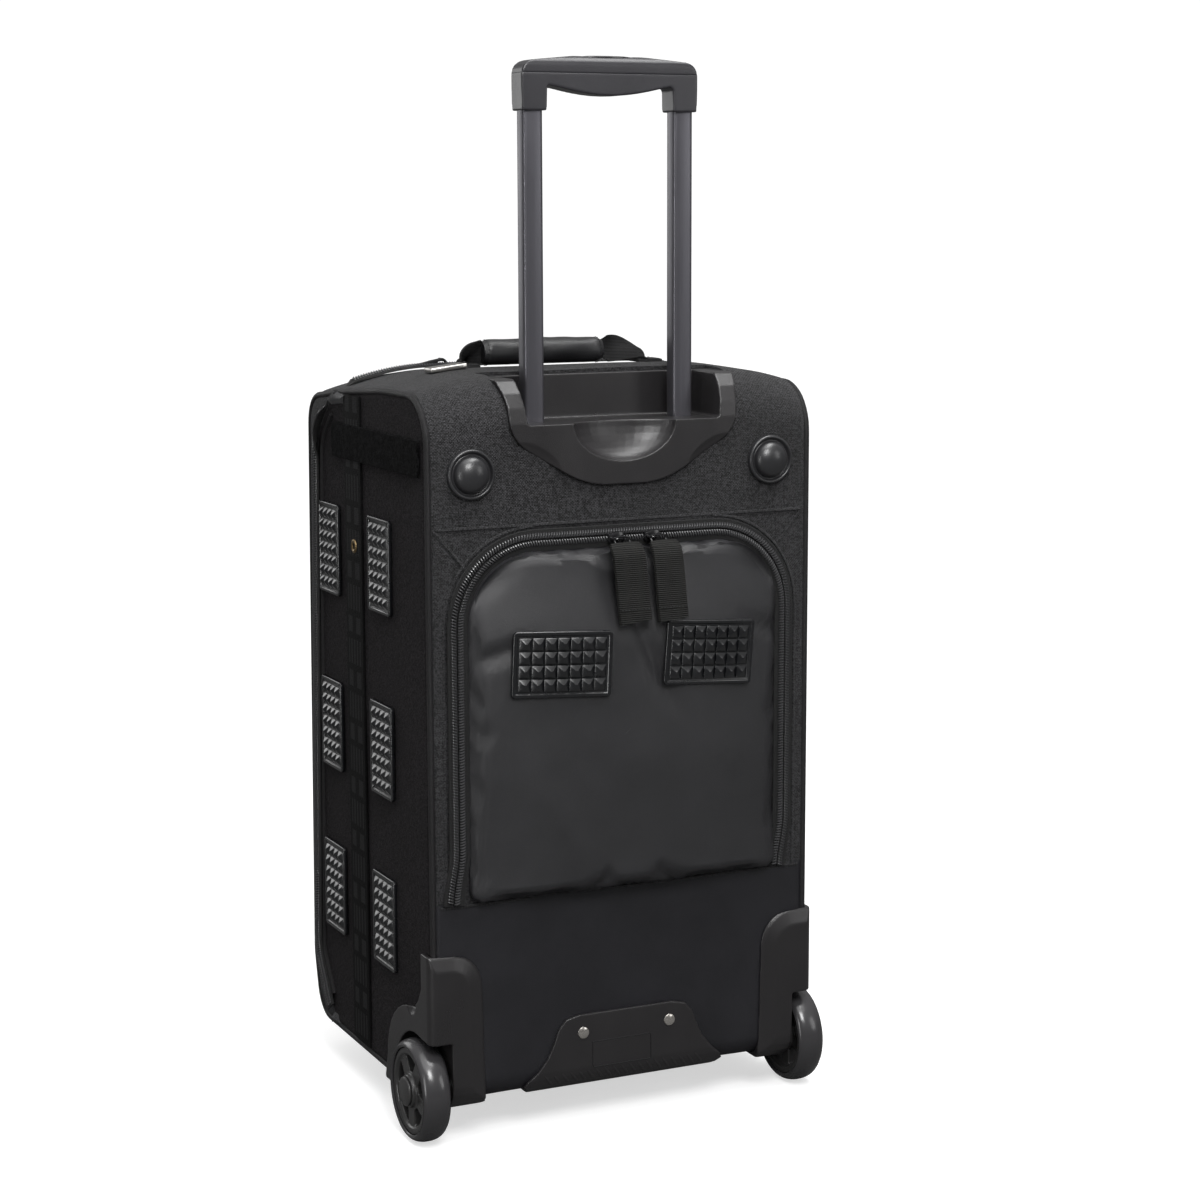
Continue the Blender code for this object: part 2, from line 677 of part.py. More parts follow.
def grip_shells():
    """The grip's lower and upper mouldings, hollow for the release, with its button and spring."""
    lower = grip_body("grip_lower", 0.80, PARTING_Z - GAP / 2)
    channel = block("yoke_channel", None, (-0.0705, TUBE_Y - 0.0045, 0.8405), (0.0705, TUBE_Y + 0.0045, 0.86))
    well = rod("spring_well", None, (0, TUBE_Y, 0.8445), 0.0052, 0.0200, "Z")
    cut(lower, channel, well)
    for word, side in SIDES:
        section = grown(tube_outline(side * TUBE_X), GAP)
        cut(lower, slab("socket_" + word, None, section, 0.81, 0.8360 + GAP, "Z"))
        cut(lower, rod("rod_way_" + word, None, (side * TUBE_X, TUBE_Y, 0.84), 0.0030, 0.02, "Z", 16))
    upper = grip_body("grip_upper", PARTING_Z + GAP / 2, 0.90)
    squash = 0.30
    cut(upper, rod("button_hole", None, (0, TUBE_Y, 0.86), 0.0231, 0.04, "Z", 40, squash))
    button = rod("release_button", "gloss_plastic", (0, TUBE_Y, 0.8572), 0.0226, 0.0104, "Z", 40, squash)
    crown = ball("button_crown", (0, TUBE_Y, 0.8200), (0.0900, 0.0300, 0.0432), steps=48)
    keep(button, crown)
    soften(button, 0.0004, 1)
    yoke = block("release_yoke", "steel", (-0.0680, TUBE_Y - 0.0028, 0.8446), (0.0680, TUBE_Y + 0.0028, 0.8476))
    join(yoke, rod("yoke_post", None, (0, TUBE_Y, 0.8491), 0.0020, 0.0050, "Z", 16))
    for word, side in SIDES:
        join(yoke, rod("push_rod_" + word, None, (side * TUBE_X, TUBE_Y, 0.6780), 0.0015, 0.3400, "Z", 12))
    under("button_axis", (0, TUBE_Y, GRIP_TOP_Z), button, yoke)
    return [lower, upper, button_spring()]


def button_spring():
    """The coil spring under the release, standing in its well."""
    curve = bpy.data.curves.new("button_spring", "CURVE")
    curve.dimensions = "3D"
    curve.bevel_depth = 0.00035
    curve.bevel_resolution = 1
    curve.use_fill_caps = True
    turns, per_turn, radius = 4, 12, 0.0038
    low, high = 0.8350, 0.8438
    count = turns * per_turn + 1
    spline = curve.splines.new("POLY")
    spline.points.add(count - 1)
    for k, point in enumerate(spline.points):
        angle = 2 * math.pi * k / per_turn
        height = low + (high - low) * k / (count - 1)
        point.co = (radius * math.cos(angle), TUBE_Y + radius * math.sin(angle), height, 1)
    return meshed(bpy.data.objects.new("button_spring", curve), "button_spring", "steel")


# Wheels ---------------------------------------------------------------------------
def hub_profile():
    """The wheel's moulded centre, as (radius, offset), once round and down its outer side."""
    rim, web, boss = HUB_RIM_R, 0.0305, 0.0130
    return [
        (0.0043, 0.0115), (boss, 0.0115), (boss + 0.0010, 0.0080), (web - 0.0010, 0.0080),
        (web, 0.0100), (rim, 0.0100), (rim, -0.0100), (web, -0.0100), (web - 0.0010, -0.0045),
        (boss + 0.0010, -0.0045), (boss, -0.0095), (0.0043, -0.0095),
    ]


def tyre_profile():
    inner = HUB_RIM_R + GAP
    crown = arc((0, 0), 1, 90, -90, 10)
    outer = [(WHEEL_R - WHEEL_HALF * 0.55 * (1 - x), WHEEL_HALF * y) for x, y in crown]
    return [(inner, WHEEL_HALF * 0.92)] + outer + [(inner, -WHEEL_HALF * 0.92)]


def window_outline(angle):
    """One opening between two spokes, as a wedge with round ends."""
    inner, outer, half = 0.0158, 0.0286, 22.0
    points = arc((0, 0), outer, angle - half, angle + half, 6)
    points += arc((0, 0), inner, angle + half * 0.55, angle - half * 0.55, 4)
    return points


def wheels():
    for word, side in SIDES:
        facing_out = Matrix.Rotation(side * math.pi / 2, 4, "Y")
        place = Matrix.Translation((side * WHEEL_X, AXLE_Y, WHEEL_R)) @ facing_out
        tyre = turned("tyre_" + word, "tyre", tyre_profile(), place, 48, True)
        hub = turned("wheel_hub_" + word, "gloss_plastic", hub_profile(), place, 40, True)
        for k in range(5):
            outline = [(AXLE_Y + y, WHEEL_R + z) for y, z in window_outline(90 + 72 * k)]
            a, b = span(side * (WHEEL_X - 0.02), side * (WHEEL_X + 0.02))
            cut(hub, slab(f"window_{word}_{k}", None, outline, a, b, "X"))
        cap_profile = [
            (0, 0.0146), (0.0100, 0.0146), (0.0120, 0.0136), (0.0120, 0.0118), (0, 0.0118),
        ]
        cap = turned("hub_cap_" + word, "plastic", cap_profile, place, 32)
        under("wheel_axis_" + word, (side * WHEEL_X, AXLE_Y, WHEEL_R), tyre, hub, cap)
        axle_profile = [
            (0, 0.0114), (0.0040, 0.0114), (0.0040, -0.0099), (0.0062, -0.0099), (0.0062, -0.0153),
            (0.0040, -0.0153), (0.0040, -0.0267), (0, -0.0267),
        ]
        turned("wheel_axle_" + word, "steel", axle_profile, place, 24)


def front_feet():
    """The two feet that hold the bag level at its front."""
    for word, side in SIDES:
        place = Matrix.Translation((side * 0.105, REAR_Y - 0.195, 0))
        top = FLOOR_GAP - GAP
        profile = [(0, top), (0.0190, top), (0.0190, top - 0.004), (0.0160, 0.0020), (0.0145, 0), (0, 0)]
        turned("front_foot_" + word, "plastic", profile, place, 32)


# Top of the bag -------------------------------------------------------------------
def carry_handle():
    """The padded strap handle on top: a wrap round the webbing, and its two ends."""
    y, z = REAR_Y - 0.1155, 0.6290
    wrap = rod("handle_wrap", "leather", (0.0150, y, z), 0.0102, 0.1080, "X", 20)
    soften(wrap, 0.0015, 2)
    right = [(0.0694, z + 0.0005), (0.0770, z + 0.0012), (0.0850, z - 0.0008), (0.0860, 0.6232)]
    left = [
        (-0.0394, z + 0.0005), (-0.0520, z + 0.0015), (-0.0740, z + 0.0010), (-0.0810, z - 0.0010),
        (-0.0830, 0.6232),
    ]
    pieces = [wrap]
    for word, path, half in (("right", right, 0.0100), ("left", left, 0.0125)):
        pieces.append(slab("handle_strap_" + word, "webbing", ribbon(path, 0.0024), y - half, y + half, "Y"))
    under("carry_handle_axis", (0, y, 0.6212), *pieces)
    plate = block("lock_plate", "nickel", (0.096, REAR_Y - 0.094, 0.6184), (0.128, REAR_Y - 0.078, 0.6224))
    soften(plate, 0.0010, 2)


def main_sliders():
    """The two sliders of the main zip on top of the bag, each with a flip-over pull."""
    y = REAR_Y - 0.1820
    base = TOP_Z - 0.0035
    for word, x, lead in (("right", 0.0780, 1), ("left", 0.0540, -1)):
        low = (x - 0.0070, y - 0.0055, base)
        high = (x + 0.0070, y + 0.0055, base + 0.0040)
        body = block("main_slider_" + word, "gloss_plastic", low, high)
        bridge = rod("bridge_" + word, None, (x, y, base + 0.0036), 0.0060, 0.0036, "Y", 24)
        eye = rod("bridge_eye_" + word, None, (x, y, base + 0.0058), 0.0020, 0.02, "Y", 16)
        join(body, bridge)
        cut(body, eye)
        pivot = (x, y, base + 0.0058)
        path = [(x + lead * 0.0064, base + 0.0058), (x + lead * 0.0280, base + 0.0050)]
        tab = slab("main_pull_" + word, "gloss_plastic", ribbon(path, 0.0018), y - 0.0040, y + 0.0040, "Y")
        pin = rod("pull_pin_" + word, None, pivot, 0.0014, 0.0080, "Y", 12)
        for end in (-1, 1):
            a, b = span(x, x + lead * 0.0100)
            c, d = span(y + end * 0.0022, y + end * 0.0040)
            arm = block(f"pull_arm_{word}_{end}", None, (a, c, base + 0.0049), (b, d, base + 0.0067))
            join(tab, arm)
        join(tab, pin)
        hinge_at(tab, pivot)


def build():
    bag_shell()
    front_lid()
    back_board()
    side_pads()
    dome_studs()
    base_plate()
    trolley_cup()
    corner_guards()
    rear_pocket()
    pocket_sliders()
    trolley_rails()
    trolley_handle()
    wheels()
    front_feet()
    carry_handle()
    main_sliders()
    for obj in PARTS.objects:
        if obj.type == "MESH":
            obj.data.shade_smooth()
            obj.data.set_sharp_from_angle(angle=math.radians(35))


clear_scene()
PARTS = new_collection("trolley_bag")
CUTTERS = new_collection("cutters")
build()
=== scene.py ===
import json
import math

import bmesh
import bpy
import numpy as np
from mathutils import Matrix, Vector, noise


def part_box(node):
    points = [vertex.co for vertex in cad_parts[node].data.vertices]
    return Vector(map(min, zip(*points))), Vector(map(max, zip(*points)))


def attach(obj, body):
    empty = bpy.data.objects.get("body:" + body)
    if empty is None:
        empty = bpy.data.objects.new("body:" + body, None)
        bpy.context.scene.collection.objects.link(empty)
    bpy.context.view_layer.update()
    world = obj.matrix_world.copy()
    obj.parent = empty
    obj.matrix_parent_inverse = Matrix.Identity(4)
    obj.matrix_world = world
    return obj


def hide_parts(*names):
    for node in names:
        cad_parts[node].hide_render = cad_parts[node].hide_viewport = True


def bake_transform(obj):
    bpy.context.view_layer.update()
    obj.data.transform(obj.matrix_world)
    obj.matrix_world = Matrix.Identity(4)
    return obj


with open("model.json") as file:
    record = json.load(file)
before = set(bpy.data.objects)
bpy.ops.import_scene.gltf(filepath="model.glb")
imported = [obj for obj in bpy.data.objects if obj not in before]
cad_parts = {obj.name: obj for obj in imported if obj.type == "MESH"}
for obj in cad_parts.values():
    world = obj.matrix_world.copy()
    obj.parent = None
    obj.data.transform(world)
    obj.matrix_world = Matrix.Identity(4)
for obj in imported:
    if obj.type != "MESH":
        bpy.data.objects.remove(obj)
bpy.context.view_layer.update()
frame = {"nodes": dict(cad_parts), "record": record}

NODES = frame["nodes"]
BODY_OF = {n: b for b, names in frame["record"]["behaviour"]["bodies"].items() for n in names}

# Sizes shared with the CAD model, in metres
HALF_W = 0.169
REAR_Y = 0.117
BACK_Y = REAR_Y + 0.0126
FLOOR_GAP = 0.034
CORNER_R = 0.0075            # rounding under the piping
SEAM_Z = 0.198
UPPER_SEAM_Z = 0.499
POCKET_HALF = 0.1375
POCKET_TOP_Z = 0.479
POCKET_R = 0.058
POCKET_FACE_Y = BACK_Y + 0.0003 + 0.0254
STRAP_Y = REAR_Y - 0.150
ZIP_PITCH = 0.00225
THREAD_PITCH = 0.0009
SHELL_WALL = 0.0038
POCKET_WALL = 0.0022
POCKET_BASE_Y = BACK_Y + 0.0012
TOP_BEND_X = 0.088           # where the top starts to fall towards the sides
TYRE_CROWN = 0.0062
MAIN_DROP = 0.0028           # how far the soft top gives under the main zip's sliders
SIDES = (("left", -1), ("right", 1))


# Node helpers ---------------------------------------------------------------------
def node(tree, kind, inputs=None, **settings):
    made = tree.nodes.new(kind)
    for key, value in settings.items():
        setattr(made, key, value)
    for key, value in (inputs or {}).items():
        if isinstance(value, bpy.types.NodeSocket):
            tree.links.new(value, made.inputs[key])
        else:
            made.inputs[key].default_value = value
    return made


def calc(tree, operation, *values):
    return node(tree, "ShaderNodeMath", dict(enumerate(values)), operation=operation).outputs[0]


def blank(name, roughness=0.5, metallic=0.0, **sockets):
    made = bpy.data.materials.new(name)
    made.use_nodes = True
    tree = made.node_tree
    shader = tree.nodes["Principled BSDF"]
    shader.inputs["Roughness"].default_value = roughness
    shader.inputs["Metallic"].default_value = metallic
    for key, value in sockets.items():
        shader.inputs[key.replace("_", " ")].default_value = value
    return made, tree, shader


def mix(tree, factor, low, high, kind):
    """Two colours (RGBA) or two values (FLOAT), mixed by a factor."""
    first, out = (6, 2) if kind == "RGBA" else (2, 0)
    return node(tree, "ShaderNodeMix", {0: factor, first: low, first + 1: high}, data_type=kind).outputs[out]


def tone(tree, colour, amount, factor):
    """The colour, lightened or darkened by a factor that runs from 0 to 1."""
    low = [c * (1 - amount) for c in colour] + [1]
    high = [c * (1 + amount) for c in colour] + [1]
    return mix(tree, factor, low, high, "RGBA")


def place(tree):
    return node(tree, "ShaderNodeTexCoord").outputs["Object"]


def clouds(tree, scale, detail=3.0, stretch=(1, 1, 1)):
    mapped = node(tree, "ShaderNodeMapping", {"Vector": place(tree), "Scale": stretch})
    found = node(tree, "ShaderNodeTexNoise", {"Vector": mapped.outputs[0], "Scale": scale, "Detail": detail})
    return found.outputs["Fac"]


def summed(tree, first, share, second, other_share):
    """Two values added, each times its share."""
    return calc(tree, "ADD", calc(tree, "MULTIPLY", first, share), calc(tree, "MULTIPLY", second, other_share))


def ranged(tree, value, low, high, bottom=0.0, top=1.0):
    return node(tree, "ShaderNodeMapRange", {0: value, 1: low, 2: high, 3: bottom, 4: top}).outputs[0]


def ridges(tree, value, factor=math.pi):
    """Rounded ridges along a direction."""
    return calc(tree, "ABSOLUTE", calc(tree, "SINE", calc(tree, "MULTIPLY", value, factor)))


def painted(tree, shader, colour):
    tree.links.new(colour, shader.inputs["Base Color"])


def roughened(tree, shader, value, low, high):
    """Roughness that follows a noise value from low to high."""
    tree.links.new(ranged(tree, value, 0.3, 0.7, low, high), shader.inputs["Roughness"])


def bumped(tree, shader, height, distance, below=None):
    inputs = {"Height": height, "Distance": distance, "Strength": 1.0}
    if below:
        inputs["Normal"] = below
    made = node(tree, "ShaderNodeBump", inputs).outputs[0]
    tree.links.new(made, shader.inputs["Normal"])
    return made


def flat_coords(tree, pitch_u, pitch_v):
    """The surface's own two directions, in threads."""
    uv = node(tree, "ShaderNodeUVMap").outputs[0]
    split = node(tree, "ShaderNodeSeparateXYZ", {0: uv})
    return (calc(tree, "DIVIDE", split.outputs[0], pitch_u), calc(tree, "DIVIDE", split.outputs[1], pitch_v))


def woven(tree, pitch):
    """(height, thread choice) of a plain weave."""
    u, v = flat_coords(tree, pitch, pitch)
    over = calc(tree, "MODULO", calc(tree, "ADD", calc(tree, "FLOOR", u), calc(tree, "FLOOR", v)), 2.0)
    over = calc(tree, "ABSOLUTE", over)
    crest_u = ridges(tree, u)
    crest_v = ridges(tree, v)
    height = mix(tree, over, crest_u, crest_v, "FLOAT")
    return height, over


def cloth(name, colour, pitch, depth, roughness, contrast=0.35, sheen=0.08, shine=0.35):
    made, tree, shader = blank(name, roughness, Sheen_Weight=sheen, Sheen_Roughness=0.5, Specular_IOR_Level=shine)
    height, over = woven(tree, pitch)
    dust = clouds(tree, 26.0, 4.0)
    fine = clouds(tree, 900.0, 2.0)
    warp = clouds(tree, 1250.0, 0.0, (1, 1, 0.30))
    weft = clouds(tree, 1250.0, 0.0, (0.30, 0.30, 1))
    heather = ranged(tree, summed(tree, warp, 0.5, weft, 0.5), 0.38, 0.62)
    mixed = summed(tree, over, 0.22, heather, 0.78)
    threads = tone(tree, colour, contrast, mixed)
    shade = ranged(tree, dust, 0.3, 0.7, 0.84, 1.14)
    scaled = node(tree, "ShaderNodeVectorMath", {0: threads, 3: shade}, operation="SCALE").outputs[0]
    painted(tree, shader, scaled)
    roughened(tree, shader, dust, roughness - 0.06, roughness + 0.06)
    fuzz = bumped(tree, shader, fine, 0.00012)
    bumped(tree, shader, height, depth, fuzz)
    return made


def ribbed(name, colour, pitch, depth, roughness):
    """Webbing: ribs across the strap, with finer threads along it. Its colour follows the rib and thread height,
    lighter on the crests and near black in the grooves: painted highlight and painted shade, mixed with random wear.
    """
    made, tree, shader = blank(name, roughness, Specular_IOR_Level=0.18)
    u, v = flat_coords(tree, THREAD_PITCH, pitch)
    rib = ridges(tree, v)
    thread = ridges(tree, u)
    height = summed(tree, rib, 0.75, thread, 0.25)
    wear = clouds(tree, 60.0, 4.0)
    # Colour from rib and thread height: painted highlight on the crests and painted shade in the grooves, mixed with
    # random wear.
    shade = summed(tree, height, 0.65, wear, 0.35)
    painted_rib_light_and_wear = ranged(tree, shade, 0.25, 0.80)
    painted(tree, shader, tone(tree, colour, 0.92, painted_rib_light_and_wear))
    bumped(tree, shader, height, depth)
    return made


def moulded(name, colour, roughness, grain=0.00008, scale=1400.0, **sockets):
    """Moulded plastic or rubber: fine grain, faint flow marks and rubbed patches."""
    made, tree, shader = blank(name, roughness, **sockets)
    patches = clouds(tree, 18.0, 4.0)
    fine = clouds(tree, scale, 2.0)
    flow = clouds(tree, 40.0, 2.0, (1, 1, 0.2))
    mixed = summed(tree, patches, 0.6, flow, 0.4)
    painted(tree, shader, tone(tree, colour, 0.22, mixed))
    roughened(tree, shader, mixed, roughness - 0.07, roughness + 0.07)
    bumped(tree, shader, fine, grain)
    return made


def drawn_metal(name, colour, roughness, metallic, stretch):
    """Metal with fine marks drawn out along one direction."""
    made, tree, shader = blank(name, roughness, metallic, Anisotropic=0.3)
    marks = clouds(tree, 900.0, 3.0, stretch)
    patches = clouds(tree, 14.0, 3.0)
    mixed = summed(tree, marks, 0.6, patches, 0.4)
    painted(tree, shader, tone(tree, colour, 0.12, mixed))
    roughened(tree, shader, mixed, roughness - 0.05, roughness + 0.06)
    bumped(tree, shader, marks, 0.00001)
    return made


def hook_and_loop(name):
    made, tree, shader = blank(name, 0.95, Sheen_Weight=0.0, Specular_IOR_Level=0.06)
    fine = clouds(tree, 650.0, 5.0)
    coarse = clouds(tree, 180.0, 3.0)
    mixed = summed(tree, fine, 0.6, coarse, 0.4)
    sharp = ranged(tree, mixed, 0.42, 0.62)
    painted(tree, shader, tone(tree, (0.0055, 0.0055, 0.0058), 0.96, sharp))
    bumped(tree, shader, mixed, 0.0012)
    return made


def patterned_strap(name):
    """Jacquard webbing: a plain repeat of bars, blocks and slots along the strap. Within the figure the colour is
    lighter on the rib crests and darker between them: painted highlight and painted shade, mixed with random wear.
    """
    made, tree, shader = blank(name, 0.8, Specular_IOR_Level=0.10)
    repeat = 0.046
    u, v = flat_coords(tree, 0.0195, repeat)
    across = calc(tree, "ABSOLUTE", u)
    along = calc(tree, "FRACT", v)
    bars = calc(tree, "LESS_THAN", calc(tree, "PINGPONG", across, 0.17), 0.09)
    bars = calc(tree, "MULTIPLY", bars, calc(tree, "LESS_THAN", along, 0.46))
    block = calc(tree, "LESS_THAN", calc(tree, "ABSOLUTE", calc(tree, "SUBTRACT", along, 0.73)), 0.15)
    block = calc(tree, "MULTIPLY", block, calc(tree, "GREATER_THAN", across, 0.22))
    figure = calc(tree, "MAXIMUM", bars, block)
    figure = calc(tree, "MULTIPLY", figure, calc(tree, "LESS_THAN", across, 0.74))
    fine = clouds(tree, 520.0, 4.0)
    wear = clouds(tree, 45.0, 3.0)
    rib = ridges(tree, v, math.pi * repeat / 0.0016)
    ground = tone(tree, (0.0030, 0.0030, 0.0032), 0.7, fine)
    # The figure's colour follows the ribs: painted highlight on their crests and painted shade between them, mixed with
    # random wear.
    weave = tone(tree, (0.0135, 0.0135, 0.0140), 0.5, summed(tree, rib, 0.6, wear, 0.4))
    colour = mix(tree, figure, ground, weave, "RGBA")
    painted(tree, shader, colour)
    nap = bumped(tree, shader, fine, 0.0005)
    height = calc(tree, "ADD", figure, calc(tree, "MULTIPLY", rib, 0.3))
    bumped(tree, shader, height, 0.0005, nap)
    return made


def leatherette(name):
    made, tree, shader = blank(name, 0.34, Coat_Weight=0.08, Coat_Roughness=0.3)
    cells = node(tree, "ShaderNodeTexVoronoi", {"Vector": place(tree), "Scale": 950.0}, feature="DISTANCE_TO_EDGE")
    creases = clouds(tree, 90.0, 4.0, (0.25, 1, 1))
    relief = calc(tree, "MINIMUM", cells.outputs["Distance"], 0.25)
    height = calc(tree, "ADD", relief, calc(tree, "MULTIPLY", creases, 0.5))
    painted(tree, shader, tone(tree, (0.0085, 0.0085, 0.0095), 0.4, creases))
    bumped(tree, shader, height, 0.0003)
    return made


def engraved(name):
    """Nickel plate with rows of plain round dimples, each painted darker than the plate round it: painted shade in the
    hollows.
    """
    made, tree, shader = blank(name, 0.28, 1.0)
    at = node(tree, "ShaderNodeSeparateXYZ", {0: place(tree)})
    u = calc(tree, "SUBTRACT", calc(tree, "FRACT", calc(tree, "DIVIDE", at.outputs[0], 0.0032)), 0.5)
    v = calc(tree, "SUBTRACT", calc(tree, "FRACT", calc(tree, "DIVIDE", at.outputs[1], 0.0032)), 0.5)
    away = calc(tree, "SQRT", calc(tree, "ADD", calc(tree, "MULTIPLY", u, u), calc(tree, "MULTIPLY", v, v)))
    dimple = ranged(tree, away, 0.22, 0.32)
    marks = clouds(tree, 700.0, 3.0, (1, 6, 1))
    # Darker inside each dimple: painted shade in the hollow, mixed with fine drawn marks.
    shade = summed(tree, dimple, 0.75, marks, 0.25)
    painted(tree, shader, tone(tree, (0.42, 0.41, 0.39), 0.55, shade))
    bumped(tree, shader, dimple, 0.00008)
    return made


MAT = {
    "weave": cloth("woven_polyester", (0.0190, 0.0187, 0.0200), 0.0012, 0.0004, 0.72, 0.92, 0.05, 0.25),
    # The side cloth is the back's kind of woven fabric in a darker colour: painted shade for the sides, which face away
    # from the key light.
    "side": cloth("side_polyester", (0.0135, 0.0120, 0.0132), 0.0011, 0.0003, 0.85, 0.75, 0.02, 0.06),
    "panel": cloth("coated_panel", (0.0120, 0.0118, 0.0134), 0.0007, 0.00008, 0.42, 0.10, 0.0, 0.55),
    "lower": cloth("coated_lower_panel", (0.0090, 0.0088, 0.0112), 0.0007, 0.00008, 0.48, 0.10, 0.0, 0.35),
    "lining": cloth("lining", (0.030, 0.030, 0.032), 0.0012, 0.0002, 0.80, 0.15),
    "piping": cloth("piping_cloth", (0.0105, 0.0100, 0.0108), 0.0008, 0.0002, 0.50, 0.25, 0.0, 0.25),
    # The zip tape is set near black so that the gaps between the teeth read dark: painted shade.
    "tape": cloth("zip_tape", (0.0036, 0.0036, 0.0038), 0.0008, 0.0003, 0.75, 0.30, 0.05),
    "thread": cloth("thread", (0.0130, 0.0130, 0.0140), 0.0006, 0.0001, 0.60, 0.30, 0.05),
    "webbing": ribbed("tab_webbing", (0.0100, 0.0100, 0.0094), 0.0016, 0.0007, 0.66),
    "strap": ribbed("handle_webbing", (0.0075, 0.0075, 0.0078), 0.0012, 0.0004, 0.78),
    "jacquard": patterned_strap("side_strap_webbing"),
    "velcro": hook_and_loop("hook_and_loop_band"),
    "plastic": moulded("moulded_plastic", (0.0150, 0.0140, 0.0148), 0.33, 0.00012, 1500.0),
    "grip": moulded("grip_plastic", (0.0210, 0.0204, 0.0236), 0.32, 0.00008, 1700.0),
    "gloss": moulded("gloss_plastic", (0.0080, 0.0080, 0.0088), 0.20, 0.00002, 500.0),
    "matte": moulded("matte_plastic", (0.0100, 0.0100, 0.0106), 0.62, 0.00006, 1200.0, Specular_IOR_Level=0.15),
    # The coil's base colour is set light so that the teeth read as glinting: painted highlight.
    "nylon": moulded("nylon_coil", (0.0520, 0.0520, 0.0540), 0.22, 0.00003, 900.0, Specular_IOR_Level=0.8),
    "rubber": moulded("moulded_rubber", (0.0030, 0.0033, 0.0042), 0.26, 0.00002, 1200.0, Specular_IOR_Level=0.75),
    "tyre": moulded(
        "polyurethane_tyre", (0.0330, 0.0320, 0.0340), 0.25, 0.00003, 300.0, Coat_Weight=0.15, Coat_Roughness=0.15,
    ),
    "satin": moulded("satin_plastic", (0.0170, 0.0170, 0.0185), 0.33, 0.00004, 900.0, Specular_IOR_Level=0.6),
    "hub": moulded("hub_plastic", (0.0300, 0.0295, 0.0295), 0.30, 0.00005, 1200.0),
    "board": moulded("stiffening_sheet", (0.0400, 0.0400, 0.0400), 0.70, 0.00006, 800.0),
    "tube": drawn_metal("anodised_tube", (0.1050, 0.1030, 0.1160), 0.34, 0.75, (1, 1, 0.01)),
    "steel": drawn_metal("bright_steel", (0.600, 0.600, 0.610), 0.24, 1.0, (0.1, 1, 1)),
    "nickel": drawn_metal("nickel_plate", (0.640, 0.610, 0.570), 0.24, 1.0, (1, 1, 1)),
    "brass": drawn_metal("brass_eyelet", (0.230, 0.165, 0.085), 0.36, 1.0, (1, 1, 1)),
    "leather": leatherette("imitation_leather"),
    "plate": engraved("lock_plate_finish"),
}


# Curves in a plane ----------------------------------------------------------------
def rounded_path(corners, steps=8):
    """An open path through corners (a, b, radius); the two ends have no radius."""
    path = []
    for i, (a, b, radius) in enumerate(corners):
        here = Vector((a, b))
        if radius <= 0 or i in (0, len(corners) - 1):
            path.append(here)
            continue
        before = (Vector(corners[i - 1][:2]) - here).normalized()
        after = (Vector(corners[i + 1][:2]) - here).normalized()
        half = before.angle(after) / 2
        centre = here + (before + after).normalized() * (radius / math.sin(half))
        start = here + before * (radius / math.tan(half)) - centre
        sweep = math.pi - 2 * half
        if before.x * after.y - before.y * after.x > 0:
            sweep = -sweep
        path += [centre + Matrix.Rotation(sweep * k / steps, 2) @ start for k in range(steps + 1)]
    return path


def resampled(path, count, closed=False):
    """Evenly spaced points along a path of vectors."""
    points = [Vector(p) for p in path] + ([Vector(path[0])] if closed else [])
    lengths = np.cumsum([0.0] + [(b - a).length for a, b in zip(points, points[1:])])
    spots = np.linspace(0, lengths[-1], count + 1 if closed else count)
    if closed:
        spots = spots[:-1]
    cells = np.array([tuple(p) for p in points])
    return [Vector([float(np.interp(s, lengths, cells[:, k])) for k in range(cells.shape[1])]) for s in spots]


def length_of(path):
    return sum((Vector(b) - Vector(a)).length for a, b in zip(path, path[1:]))


def smooth(value, low=0.0, high=1.0):
    t = min(max((value - low) / (high - low), 0.0), 1.0)
    return t * t * (3 - 2 * t)


MID_SHELL = rounded_path([
    (-0.065, 0.6100, 0), (0.027, 0.6168, 0.060), (BACK_Y, 0.6145, 0.038), (BACK_Y, FLOOR_GAP, 0.016),
    (-0.1055, FLOOR_GAP, 0),
])
SIDE_SHELL = rounded_path([
    (-0.070, 0.5945, 0), (0.030, 0.6020, 0.060), (BACK_Y, 0.6030, 0.040), (BACK_Y, FLOOR_GAP, 0.016),
    (-0.1055, FLOOR_GAP, 0),
])
MID_LID = rounded_path([
    (-0.065, 0.6100, 0), (-0.1450, 0.6010, 0.044), (-0.1590, 0.0880, 0.035), (-0.1450, FLOOR_GAP, 0.030),
    (-0.1055, FLOOR_GAP, 0),
])
SIDE_LID = rounded_path([
    (-0.070, 0.5945, 0), (-0.1460, 0.5860, 0.028), (-0.1590, 0.0880, 0.035), (-0.1450, FLOOR_GAP, 0.030),
    (-0.1055, FLOOR_GAP, 0),
])
OPENING = rounded_path([
    (-0.070, 0.5945, 0), (-0.0860, 0.5855, 0.020), (-0.1210, 0.5560, 0.045), (-0.1400, 0.0940, 0.030),
    (-0.1055, 0.0420, 0.006), (-0.1055, FLOOR_GAP, 0),
])


# Mesh helpers ---------------------------------------------------------------------
def box_uv(obj):
    """Gives each face a flat map in metres, along the two axes it faces least."""
    mesh = obj.data
    layer = mesh.uv_layers.get("UVMap") or mesh.uv_layers.new(name="UVMap")
    for face in mesh.polygons:
        size = [abs(c) for c in face.normal]
        axis = size.index(max(size))
        a, b = ((1, 2), (0, 2), (0, 1))[axis]
        for loop in face.loop_indices:
            spot = mesh.vertices[mesh.loops[loop].vertex_index].co
            layer.data[loop].uv = (spot[a], spot[b])


